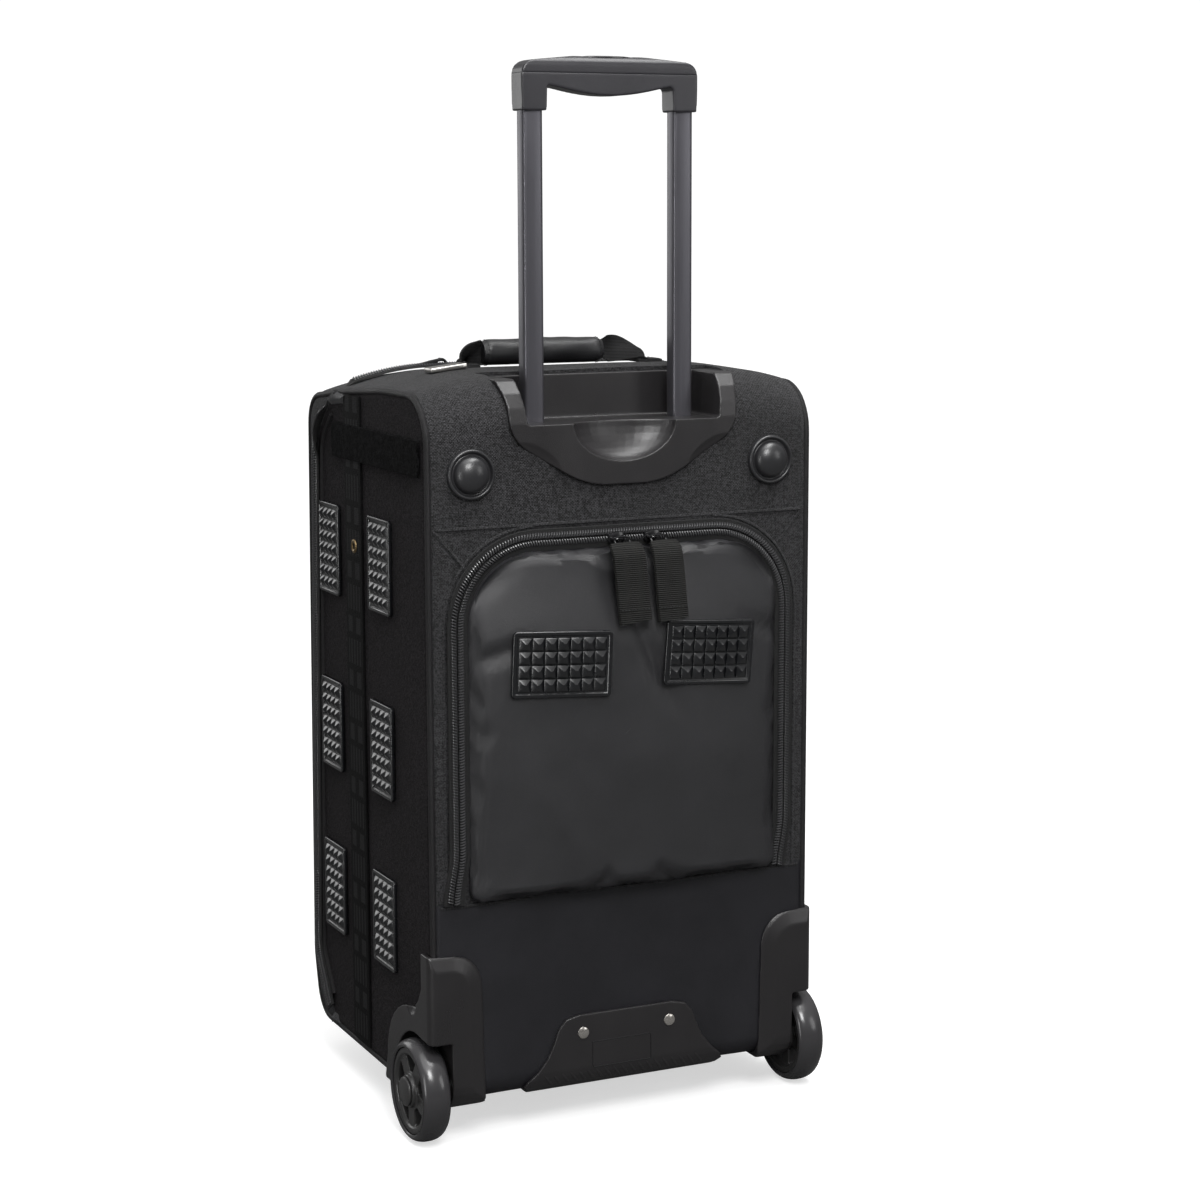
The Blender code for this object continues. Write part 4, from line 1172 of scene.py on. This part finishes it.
# Rubber pads ----------------------------------------------------------------------
def studded_pad(name, node_name, columns, rows, turn=0.0):
    """A moulded pad: a raised rim round rows of small pyramids."""
    low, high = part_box(node_name)
    flat = 1 if high.y - low.y < high.x - low.x else 0
    if flat == 1:
        out, right = Vector((0, 1, 0)), Vector((1, 0, 0))
    else:
        side = 1 if low.x > 0 else -1
        out, right = Vector((side, 0, 0)), Vector((0, 1, 0))
    up = Vector((0, 0, 1))
    middle = (low + high) / 2
    wide = (high - low).dot(right)
    tall = high.z - low.z
    thick = abs((high - low).dot(Vector([abs(c) for c in out])))
    base = middle - out * thick / 2
    work = bmesh.new()

    def ring(inset, height):
        half_w, half_t = wide / 2 - inset, tall / 2 - inset
        cut = max(0.0022 - inset * 0.6, 0.0004)
        spots = []
        for sx, sz in ((1, 1), (-1, 1), (-1, -1), (1, -1)):
            pair = [(half_w * sx, (half_t - cut) * sz), ((half_w - cut) * sx, half_t * sz)]
            if sx * sz < 0:
                pair.reverse()
            spots += pair
        return [work.verts.new((a, b, height)) for a, b in spots]

    rim = ((0.0, 0.0), (0.0002, 0.45), (0.0007, 0.58), (0.0024, 0.58), (0.0031, 0.50), (0.0036, 0.34))
    rings = [ring(inset, thick * share) for inset, share in rim]
    bridge(work, rings)
    work.faces.new(rings[-1])
    work.faces.new(rings[0][::-1])
    margin = 0.0047
    step_a = (wide - 2 * margin) / columns
    step_b = (tall - 2 * margin) / rows
    for i in range(columns):
        for j in range(rows):
            a = -wide / 2 + margin + step_a * (i + 0.5)
            b = -tall / 2 + margin + step_b * (j + 0.5)
            add_pyramid(work, a, b, step_a * 0.47, step_b * 0.47, thick * 0.30, thick)
    obj = from_bmesh(name, work)
    tilt = Matrix.Rotation(turn, 4, "Z")
    spot = Matrix((right, up, out)).transposed().to_4x4()
    spot.translation = base
    obj.data.transform(spot @ tilt)
    if flat:
        for v in obj.data.vertices:
            v.co.y -= (POCKET_FACE_Y - POCKET_BASE_Y) * (1 - flattened(v.co.x)) - 0.0002
    outward(obj)
    bevelled(obj, 0.00018, 2, 24)
    return placed(obj, BODY_OF[node_name], "rubber", True, 25, (node_name,))


def add_pyramid(work, a, b, half_a, half_b, low, high):
    """A four-sided stud whose corners run to a blunt tip."""
    rings = []
    for share, height in ((1.0, low), (0.90, low + (high - low) * 0.22), (0.13, high)):
        corners = ((1, 1), (-1, 1), (-1, -1), (1, -1))
        rings.append([work.verts.new((a + x * half_a * share, b + y * half_b * share, height)) for x, y in corners])
    bridge(work, rings)
    work.faces.new(rings[-1])
    work.faces.new(rings[0][::-1])


def pads():
    for word, _ in SIDES:
        for number in range(1, 7):
            studded_pad(f"side_pad_{word}_{number}_studs", f"side_pad_{word}_{number}", 4, 7)
    studded_pad("pocket_pad_left_studs", "pocket_pad_left", 7, 4, math.radians(4.5))
    studded_pad("pocket_pad_right_studs", "pocket_pad_right", 7, 4, math.radians(2.5))


# Straps and bands on the sides ----------------------------------------------------
def side_trim():
    for word, side in SIDES:
        x = side * (HALF_W + 0.0002)
        out = Vector((side, 0, 0))
        path = [Vector((x, STRAP_Y, z)) for z in np.linspace(0.0405, 0.5925, 70)]
        made = sweep("side_strap_" + word, path, strip(0.039, 0.0015, 0.0003), ups=[out] * len(path))
        placed(made, "bag", "jacquard")
        strap_uv(made)
        path = [Vector((x + side * 0.0012, y, 0.5535)) for y in np.linspace(-0.078, 0.1195, 40)]
        band = sweep("name_band_" + word, path, strip(0.0295, 0.0019, 0.0002), ups=[out] * len(path))
        placed(band, "bag", "velcro")
        eyelet(word, side)


def strap_uv(obj):
    """A map across and along a side strap, in metres, with its middle at 0."""
    layer = obj.data.uv_layers["UVMap"]
    for face in obj.data.polygons:
        for loop in face.loop_indices:
            spot = obj.data.vertices[obj.data.loops[loop].vertex_index].co
            layer.data[loop].uv = (spot.y - STRAP_Y, spot.z)


def turned(name, profile, matrix, steps=48):
    """A profile of (radius, height) turned about local Z."""
    verts, faces, rows = [], [], []
    for radius, height in profile:
        if radius < 1e-6:
            rows.append([len(verts)])
            verts.append((0, 0, height))
            continue
        rows.append(list(range(len(verts), len(verts) + steps)))
        for k in range(steps):
            angle = 2 * math.pi * k / steps
            verts.append((radius * math.cos(angle), radius * math.sin(angle), height))
    for upper, lower in zip(rows, rows[1:]):
        for k in range(steps):
            m = (k + 1) % steps
            ring = [upper[k % len(upper)], upper[m % len(upper)], lower[m % len(lower)], lower[k % len(lower)]]
            face = tuple(dict.fromkeys(ring))
            if len(face) > 2:
                faces.append(face)
    obj = from_lists(name, [matrix @ Vector(v) for v in verts], faces)
    outward(obj)
    return obj


def eyelet(word, side):
    spot = set_at((side * (HALF_W + 0.0016), REAR_Y - 0.147, 0.468), side * math.pi / 2, "Y")
    profile = [
        (0.0027, -0.0004), (0.0027, 0.0008), (0.0033, 0.0014), (0.0044, 0.0016), (0.0055, 0.0012), (0.0060, 0.0003),
        (0.0060, -0.0004), (0.0027, -0.0004),
    ]
    placed(turned("strap_eyelet_" + word, profile, spot, 32), "bag", "brass")


# Pull tabs and sliders ------------------------------------------------------------
def pull_tabs():
    for word, lean, width in (("right", -0.105, 0.0285), ("left", -0.095, 0.0265)):
        low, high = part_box("pull_tab_" + word)
        middle = (low.x + high.x) / 2
        top = high.z
        edge_y, edge_z = POCKET_FACE_Y - 0.0085, POCKET_TOP_Z - 0.0085
        path = [(low.y + 0.0042, top - 0.0052), (low.y + 0.0080, top - 0.0050)]
        for angle in (58, 38, 18, 2):
            a = math.radians(angle)
            path.append((edge_y + 0.0110 * math.cos(a), edge_z + 0.0110 * math.sin(a)))
        last = path[-1]
        for k in range(1, 8):
            z = last[1] + (low.z - last[1]) * k / 7
            path.append((last[0] + 0.0004 * math.sin(math.pi * k / 7), z))
        line = [Vector((middle + lean * (top - z), y, z)) for y, z in path]
        dense = resampled(line, 40)
        ups = []
        for _, along, _, _ in frames_along(dense):
            lift = along.cross(Vector((1, 0, 0)))
            ups.append(-lift if lift.y < 0 else lift)
        grow = [1.0 - 0.16 * (1 - smooth(i / (len(dense) - 1), 0.0, 0.12)) for i in range(len(dense))]
        tab = sweep("tab_body_" + word, dense, strip(width, 0.0023, 0.0004), ups=ups, scale=grow)
        tab.data.materials.append(MAT["webbing"])
        hem = [dense[i] + ups[i] * 0.0007 for i in range(34, 40)]
        fold = sweep("tab_hem_" + word, hem, strip(width * 0.995, 0.0024, 0.0004), ups=ups[34:40])
        fold.data.materials.append(MAT["webbing"])
        made = joined("pull_tab_" + word + "_woven", [tab, fold])
        placed(made, "pull_tab_" + word, None, True, 50, ("pull_tab_" + word,))
        stitch_row("tab_stitches_" + word, "pull_tab_" + word, dense[33] + ups[33] * 0.0028, width * 0.8)


def stitch_row(name, body, centre, width):
    spots = []
    for k in range(9):
        x = (k / 8 - 0.5) * width
        spots.append(basis(centre + Vector((x, 0, 0)), Vector((1, 0, 0)), Vector((0, 0, -1)), Vector((0, 1, 0))))
    sewn(name, body, stitch(0.0011, 0.0008, 0.0005), spots)


def slider_body(node_name, out, drop=0.0):
    """A zip slider: a waisted body with an arm across its back."""
    name = node_name + "_cast"
    low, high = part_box(node_name)
    along = Vector((1, 0, 0))
    side = out.cross(along)
    reach = abs((high - low).dot(out))
    base = (low + high) / 2 - out * (reach / 2 + drop)
    length = 0.0140
    outline = []
    for a, w in ((-1.0, 0.62), (-0.75, 0.86), (-0.25, 0.98), (0.2, 0.90), (0.6, 0.72), (0.9, 0.60), (1.0, 0.42)):
        outline.append((a * length / 2, w * 0.0056))
    full = outline + [(a, -w) for a, w in outline[::-1]]
    work = bmesh.new()
    rings = []
    for grow, height in ((0.90, 0.0), (1.0, 0.0006), (1.0, 0.0026), (0.90, 0.0036), (0.70, 0.0041)):
        rings.append([work.verts.new((a * grow, w * grow, height)) for a, w in full])
    bridge(work, rings)
    work.faces.new(rings[-1])
    work.faces.new(rings[0][::-1])
    obj = from_bmesh(name + "_body", work)
    spot = basis(base, along, side, out)
    obj.data.transform(spot)
    obj.data.materials.append(MAT["gloss"])
    arch = []
    for k in range(13):
        angle = math.pi * k / 12
        arch.append(spot @ Vector((0.0050 * math.cos(angle), 0, 0.0036 + 0.0048 * math.sin(angle))))
    arm = sweep(name + "_arm", arch, circle(0.00125, 8))
    arm.data.materials.append(MAT["gloss"])
    made = joined(name, [obj, arm])
    outward(made)
    return placed(made, BODY_OF[node_name], None, True, 35, (node_name,))


def sliders():
    for word, _ in SIDES:
        slider_body("pocket_slider_" + word, Vector((0, 1, 0)))
        slider_body("main_slider_" + word, Vector((0, 0, 1)), MAIN_DROP)
        main_pull(word)
        link_ring(word)


def main_pull(word):
    """A flat pull, lying on the top of the bag beside its slider."""
    pull = refined("main_pull_" + word, "matte", 0.0003, 2)
    joint = next(j for j in frame["record"]["behaviour"]["joints"] if j["name"] == f"main_pull_{word}_swing")
    pivot = Vector(joint["pos_m"])
    low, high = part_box("main_pull_" + word)
    tip = high.x if word == "right" else low.x
    rise = top_z(tip, pivot.y) + 0.0032 - (pivot.z - MAIN_DROP)
    angle = -math.atan2(rise, tip - pivot.x) if word == "right" else math.atan2(rise, pivot.x - tip)
    pull.data.transform(set_at(pivot - Vector((0, 0, MAIN_DROP)), angle, "Y") @ Matrix.Translation(-pivot))


def link_ring(word):
    """The wire link between a pocket slider and its webbing tab."""
    low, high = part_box("pull_tab_" + word)
    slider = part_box("pocket_slider_" + word)
    x = (slider[0].x + slider[1].x) / 2
    y, z = low.y + 0.0034, high.z - 0.0026
    path = []
    for a, b in ((-1, 0), (-1, 0.8), (-0.7, 1), (0.7, 1), (1, 0.8), (1, 0), (1, -0.9), (-1, -0.9)):
        path.append(Vector((x + a * 0.0065, y + max(-b, 0) * 0.0030, z + b * 0.0030 + 0.0005)))
    path = resampled(path, 28, closed=True)
    made = sweep("tab_link_" + word, path, circle(0.0009, 8), closed=True)
    placed(made, "pull_tab_" + word, "gloss")


# Carry handle ---------------------------------------------------------------------
def carry_handle():
    low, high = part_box("handle_wrap")
    y = (low.y + high.y) / 2
    z = (low.z + high.z) / 2 - 0.0026
    count = 46
    rings = []
    steps = 28
    work = bmesh.new()
    for i in range(count + 1):
        share = i / count
        x = low.x + (high.x - low.x) * share
        end = min(share, 1 - share)
        grow = 0.80 + 0.20 * smooth(end, 0.0, 0.05)
        sag = 0.0008 * math.sin(math.pi * share)
        ring = []
        for k in range(steps):
            angle = 2 * math.pi * k / steps
            a, b = math.cos(angle), math.sin(angle)
            wide = 0.0114 * math.copysign(abs(a) ** 0.85, a)
            tall = 0.0106 * math.copysign(abs(b) ** 0.9, b)
            crease = noise.noise(Vector((x * 55, a * 1.5, b * 1.5))) * 0.0007
            seamed = 0.0011 * math.exp(-((angle - 4.9) / 0.10) ** 2)
            scale = grow * (1 + (crease - seamed) / 0.0100)
            ring.append(work.verts.new((x, y + wide * scale, z + tall * scale + sag)))
        rings.append(ring)
    bridge(work, rings)
    work.faces.new(rings[0][::-1])
    work.faces.new(rings[-1])
    wrap = from_bmesh("handle_wrap_sewn", work)
    outward(wrap)
    placed(wrap, "carry_handle", "leather", True, 55, ("handle_wrap",))
    for end, x in ((0, low.x + 0.0035), (1, high.x - 0.0035)):
        stitches = []
        for k in range(22):
            angle = 2 * math.pi * (k + 0.5) / 22
            spot = Vector((x, y + 0.0113 * math.cos(angle), z + 0.0105 * math.sin(angle)))
            out = Vector((0, math.cos(angle), math.sin(angle)))
            along = Vector((0, -math.sin(angle), math.cos(angle)))
            stitches.append(basis(spot, along, out.cross(along), out))
        sewn(f"wrap_stitches_{end}", "carry_handle", stitch(0.0010, 0.0007, 0.0005), stitches)
    handle_straps(y, z, low.x, high.x)


# The gathered strap's section: (share of half its width, height)
GATHERED_SECTION = (
    (1, 0.0008), (0.5, 0.0013), (0, 0.0010), (-0.5, 0.0013), (-1, 0.0008),
    (-1, -0.0008), (-0.5, -0.0005), (0, -0.0009), (0.5, -0.0005), (1, -0.0008),
)


def handle_straps(y, z, left_x, right_x):
    """The webbing at each end of the wrap: gathered as it leaves the roll, then turned down to its anchor."""
    right = [
        ((right_x - 0.006, z), 0.0120, 60), ((right_x + 0.004, z + 0.0003), 0.0165, 78),
        ((right_x + 0.011, z - 0.0002), 0.0215, 80), ((right_x + 0.0165, z - 0.0030), 0.0220, 55),
        ((right_x + 0.0180, z - 0.0075), 0.0220, 18), ((right_x + 0.0165, z - 0.0105), 0.0220, 0),
    ]
    left = [
        ((left_x + 0.006, z), 0.0120, 60), ((left_x - 0.005, z + 0.0005), 0.0165, 78),
        ((left_x - 0.014, z + 0.0005), 0.0215, 86), ((left_x - 0.026, z + 0.0002), 0.0225, 86),
        ((left_x - 0.0345, z - 0.0010), 0.0225, 72), ((left_x - 0.0395, z - 0.0045), 0.0225, 40),
        ((left_x - 0.0415, z - 0.0085), 0.0225, 12), ((left_x - 0.0420, z - 0.0108), 0.0225, 0),
    ]
    for word, stations in (("right", right), ("left", left)):
        centre = [Vector((p[0], y, p[1])) for p, _, _ in stations]
        widths = [Vector((w, t)) for _, w, t in stations]
        dense = curve_through(centre, 26)
        sizes = curve_through(widths, 26)
        work = bmesh.new()
        rings = []
        for i, (point, along, _, _) in enumerate(frames_along(dense)):
            across = Vector((0, 1, 0))
            across = Matrix.Rotation(math.radians(sizes[i].y), 3, along) @ across
            lift = along.cross(across).normalized()
            across = lift.cross(along).normalized()
            ring = []
            half = sizes[i].x / 2
            for a, b in GATHERED_SECTION:
                curl = 0.0016 * math.sin(a * 3.1 + i * 0.25)
                ring.append(work.verts.new(point + across * (a * half) + lift * (b + curl)))
            rings.append(ring)
        bridge(work, rings)
        work.faces.new(rings[0][::-1])
        work.faces.new(rings[-1])
        made = from_bmesh(f"handle_strap_{word}_woven", work)
        outward(made)
        placed(made, None, "strap", True, 50, ("handle_strap_" + word,))
        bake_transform(made)
        anchor(word, dense[-1], y)


def curve_through(points, count):
    """A smooth path through points, by Catmull-Rom spans."""
    spots = [points[0]] + list(points) + [points[-1]]
    dense = []
    for i in range(1, len(spots) - 2):
        p0, p1, p2, p3 = spots[i - 1:i + 3]
        for k in range(8):
            t = k / 8
            squared = (2 * p0 - 5 * p1 + 4 * p2 - p3) * t * t
            cubed = (3 * p1 - p0 - 3 * p2 + p3) * t ** 3
            dense.append(0.5 * ((2 * p1) + (p2 - p0) * t + squared + cubed))
    dense.append(Vector(points[-1]))
    return resampled(dense, count)


def top_z(x, y):
    """Height of the bag's top at a spot."""
    found = SHELL.line(x)[:60]
    return float(np.interp(y, [p.x for p in found], [p.y for p in found]))


def anchor(word, end, y):
    """The strap's foot, sewn flat to the top of the bag."""
    x = end.x
    path = [Vector((x + dx, y, top_z(x + dx, y) + 0.0004)) for dx in (-0.011, -0.005, 0.0, 0.005, 0.011)]
    made = sweep("handle_anchor_" + word, path, strip(0.0250, 0.0022, 0.0004), ups=[Vector((0, 0, 1))] * 5)
    placed(made, "bag", "strap")
    spots = []
    for dy in (-0.0095, -0.0032, 0.0032, 0.0095):
        for k in range(6):
            at = x - 0.0085 + k * 0.0034
            spot = Vector((at, y + dy, top_z(at, y) + 0.0029))
            spots.append(basis(spot, Vector((1, 0, 0)), Vector((0, 1, 0)), Vector((0, 0, 1))))
    sewn("anchor_stitches_" + word, "bag", stitch(0.0012, 0.0009, 0.0004), spots)


# Rigid parts ----------------------------------------------------------------------
def domes():
    for word, side in SIDES:
        spot = set_at((side * 0.132, BACK_Y + 0.0003, 0.541), -math.pi / 2, "X")
        crown = [math.radians(a) for a in range(90, -1, -6)]
        profile = [(0.0146 * math.cos(a), 0.0022 + 0.0088 * math.sin(a)) for a in crown]
        profile += [
            (0.0150, 0.0012), (0.0158, 0.0010), (0.0166, 0.0014), (0.0172, 0.0030), (0.0180, 0.0036), (0.0190, 0.0034),
            (0.0197, 0.0024), (0.0200, 0.0010), (0.0200, 0.0),
        ]
        dome = turned("dome_stud_" + word + "_satin", profile, spot, 64)
        placed(dome, "bag", "satin", True, 60, ("dome_stud_" + word,))


def tyres():
    for word, side in SIDES:
        low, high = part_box("tyre_" + word)
        middle = (low + high) / 2
        radius = (high.z - low.z) / 2
        half = (high.x - low.x) / 2
        spot = set_at(middle, side * math.pi / 2, "Y")
        profile = [(0.0353, half * 0.90), (0.0362, half * 0.97), (0.0372, half)]
        for k in range(1, 18):
            angle = math.radians(90 - 180 * k / 18)
            across = half * math.copysign(abs(math.sin(angle)) ** 0.9, math.sin(angle))
            profile.append((radius - TYRE_CROWN * (1 - math.cos(angle)), across))
        profile += [(0.0372, -half), (0.0362, -half * 0.97), (0.0353, -half * 0.90), (0.0353, half * 0.90)]
        tyre = turned("tyre_" + word + "_moulded", profile, spot, 72)
        placed(tyre, "wheel_" + word, "tyre", True, 50, ("tyre_" + word,))


def plain_parts():
    """Rigid CAD parts with their edges rounded off and their own finish."""
    for word, _ in SIDES:
        moulded_from("wheel_hub_" + word, "hub", 0.0007, 4)
        refined("hub_cap_" + word, "hub", 0.0004, 2, 30)
        refined("base_rivet_" + word, "nickel", 0.0)
        moulded_from("front_foot_" + word, "plastic", 0.0010, 4)
        refined("inner_tube_" + word, "tube", 0.0, suffix="_anodised")
        refined("outer_tube_" + word, "tube", 0.0, suffix="_anodised")
        refined("lock_carrier_" + word, "plastic", 0.0)
        refined("wheel_axle_" + word, "steel", 0.0)
    grip()
    refined("release_button", "gloss", 0.0004, 2, 30)
    refined("release_yoke", "steel", 0.0)
    refined("button_spring", "steel", 0.0)
    refined("tube_foot", "plastic", 0.0)
    refined("back_board", "board", 0.0)
    lock_plate()


def grip():
    """Both halves of the grip, meeting in a fine parting line."""
    half_gap = (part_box("grip_upper")[0].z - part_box("grip_lower")[1].z) / 2
    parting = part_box("grip_lower")[1].z + half_gap
    for word, towards in (("lower", 1), ("upper", -1)):
        obj = moulded_from("grip_" + word, "grip", 0.0008, 4)
        for v in obj.data.vertices:
            near = 1 - smooth(abs(v.co.z - parting), 0.0, 0.0022)
            v.co.z += towards * near * max((parting - v.co.z) * towards + 0.0001, 0.0)


def lock_plate():
    """The nickel plate, lying on the slope of the top."""
    plate = refined("lock_plate", "plate", 0.0005, 2)
    low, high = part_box("lock_plate")
    centre = (low + high) / 2
    across = Vector((0.01, 0, top_z(centre.x + 0.005, centre.y) - top_z(centre.x - 0.005, centre.y))).normalized()
    along = Vector((0, 0.01, top_z(centre.x, centre.y + 0.005) - top_z(centre.x, centre.y - 0.005))).normalized()
    out = across.cross(along).normalized()
    spot = basis(Vector((centre.x, centre.y, top_z(centre.x, centre.y) + 0.0018)), across, out.cross(across), out)
    plate.data.transform(spot @ Matrix.Translation(-centre))


def trolley_cup():
    """The moulded cup, scooped out under both lower shoulders of its flange."""
    cutters = []
    for _, side in SIDES:
        turn = Matrix.Rotation(side * math.radians(-31), 4, "Y")
        cutters.append(ball("scoop", (side * 0.0760, BACK_Y + 0.0088, 0.5500), (0.0300, 0.0085, 0.0125), turn))
    moulded_from("trolley_cup", "plastic", 0.0008, 3, cutters)


def guards():
    """The wheel housings, their backs falling away towards the top and the inner edge."""
    for word, side in SIDES:
        corners = [
            (side * 0.1190, -0.200, 0), (side * 0.1270, 0.1600, 0.030), (side * 0.400, 0.1600, 0),
            (side * 0.400, -0.200, 0),
        ]
        levels = ((0.0, -0.150), (0.0, 0.0008), (0.0030, 0.0026), (0.0120, 0.0058), (0.0145, 0.0064))
        pillow = lofted("pillow", [(BACK_Y + level, closed_outline(corners, -inset, 8)) for inset, level in levels])
        dent = ball("dent", (side * 0.1860, 0.0935, 0.1120), (0.0165, 0.0150, 0.0150))
        moulded_from("corner_guard_" + word, "plastic", 0.0009, 3, [dent], [pillow])


def lofted(name, rings):
    """A closed body through outlines of (a, b) at successive depths."""
    work = bmesh.new()
    made = [[work.verts.new((p.x, y, p.y)) for p in ring] for y, ring in rings]
    bridge(work, made)
    work.faces.new(made[0])
    work.faces.new(made[-1])
    return from_bmesh(name, work)


def base_plate():
    moulded_from("base_plate", "plastic", 0.0009, 4)
    ribs = []
    for k in range(19):
        x = -0.068 + 0.0076 * k
        line = []
        for step in range(7):
            z = 0.0365 + 0.0018 * step
            y = BACK_Y - 0.0160 + math.sqrt(0.0196 ** 2 - (0.0500 - z) ** 2)
            line.append(Vector((x - 0.0045 + 0.0016 * step, y, z)))
        ups = [Vector((0, 1, 0))] * 7
        ribs.append(sweep(f"rib_{k}", line, circle(0.0011, 8, 0.6), ups=ups, scale=[0.3, 0.8, 1, 1, 1, 0.8, 0.3]))
    placed(joined("base_plate_ribs", ribs), "bag", "plastic")
    frame_line = [(-0.022, 0.049), (0.031, 0.049), (0.031, 0.0705), (-0.022, 0.0705)]
    path = resampled([Vector((x, BACK_Y + 0.0037, z)) for x, z in frame_line], 60, closed=True)
    placed(sweep("base_plate_panel_line", path, circle(0.0005, 6, 0.8), closed=True), "bag", "gloss")


# Camera, light and floor ----------------------------------------------------------
def camera():
    azimuth, pitch, roll = math.radians(25.19), math.radians(8.94), math.radians(-0.17)
    level = math.cos(pitch)
    forward = Vector((-math.sin(azimuth) * level, -math.cos(azimuth) * level, -math.sin(pitch)))
    right = forward.cross(Vector((0, 0, 1))).normalized()
    up = right.cross(forward)
    across = right * math.cos(roll) + up * math.sin(roll)
    tall = up * math.cos(roll) - right * math.sin(roll)
    data = bpy.data.cameras.new("camera")
    data.lens = 76.8
    data.sensor_width = 36.0
    data.clip_end = 20
    obj = bpy.data.objects.new("camera", data)
    spot = Matrix((across, tall, -forward)).transposed().to_4x4()
    spot.translation = (0.88096, 1.95713, 0.75269)
    obj.matrix_world = spot
    bpy.context.scene.collection.objects.link(obj)
    bpy.context.scene.camera = obj


def area_light(name, spot, target, size, power):
    data = bpy.data.lights.new(name, "AREA")
    data.energy = power
    data.shape = "RECTANGLE"
    data.size, data.size_y = size
    obj = bpy.data.objects.new(name, data)
    obj.location = spot
    obj.rotation_euler = (Vector(target) - Vector(spot)).to_track_quat("-Z", "Y").to_euler()
    bpy.context.scene.collection.objects.link(obj)


def room():
    """White to the eye; as a light, dim below and brighter overhead."""
    world = bpy.data.worlds.new("studio")
    world.use_nodes = True
    tree = world.node_tree
    way = node(tree, "ShaderNodeTexCoord").outputs["Generated"]
    height = node(tree, "ShaderNodeSeparateXYZ", {0: way}).outputs[2]
    glow = ranged(tree, height, 0.1, 0.9, 0.16, 0.62)
    seen = node(tree, "ShaderNodeLightPath").outputs["Is Camera Ray"]
    level = mix(tree, seen, glow, 1.05, "FLOAT")
    tree.links.new(level, tree.nodes["Background"].inputs[1])
    tree.nodes["Background"].inputs[0].default_value = (1, 1, 1, 1)
    bpy.context.scene.world = world


def studio():
    work = bmesh.new()
    add_grid(work, [[Vector((x, y, 0)) for y in (-9, 9)] for x in (-9, 9)])
    floor = from_bmesh("floor", work)
    if floor.data.polygons[0].normal.z < 0:
        floor.data.flip_normals()
    made, tree, shader = blank("floor_finish", 0.85, Specular_IOR_Level=0.1)
    paint = tone(tree, (0.60, 0.60, 0.60), 0.01, clouds(tree, 3.0))
    seen = node(tree, "ShaderNodeLightPath").outputs["Is Camera Ray"]
    glow = mix(tree, seen, 0.0, 1.0, "FLOAT")
    dull = mix(tree, seen, (0.13, 0.13, 0.13, 1), paint, "RGBA")
    painted(tree, shader, dull)
    tree.links.new(paint, shader.inputs["Emission Color"])
    tree.links.new(glow, shader.inputs["Emission Strength"])
    floor.data.materials.append(made)
    bpy.context.scene.collection.objects.link(floor)
    room()
    for name, spot, target, size, power in (
        ("key", (0.30, 1.45, 1.50), (0, 0.1, 0.45), (0.6, 0.6), 22),
        ("top", (-0.30, 0.35, 1.75), (0, 0.1, 0.45), (0.9, 0.5), 11),
        ("edge", (1.60, 0.92, 0.42), (0.1, 0, 0.40), (0.14, 1.1), 7.5),
        ("front", (1.0, -2.3, 1.1), (0, 0, 0.35), (1.2, 1.2), 9),
        ("fill", (-1.7, 2.2, 1.2), (0, 0.1, 0.40), (0.7, 1.2), 8),
    ):
        area_light(name, spot, target, size, power)
    overhead = bpy.data.lights.new("overhead", "SUN")
    overhead.energy = 1.2
    overhead.angle = math.radians(50)
    lamp = bpy.data.objects.new("overhead", overhead)
    lamp.rotation_euler = Vector((-0.10, -0.25, -1)).to_track_quat("-Z", "Y").to_euler()
    bpy.context.scene.collection.objects.link(lamp)
    bpy.context.scene.view_settings.view_transform = "Standard"


camera()
studio()
bag_body()
piping()
panel_edges()
main_zip()
pocket_zip()
back_seams()
pocket_panel()
pads()
side_trim()
pull_tabs()
sliders()
carry_handle()
domes()
tyres()
plain_parts()
trolley_cup()
guards()
base_plate()
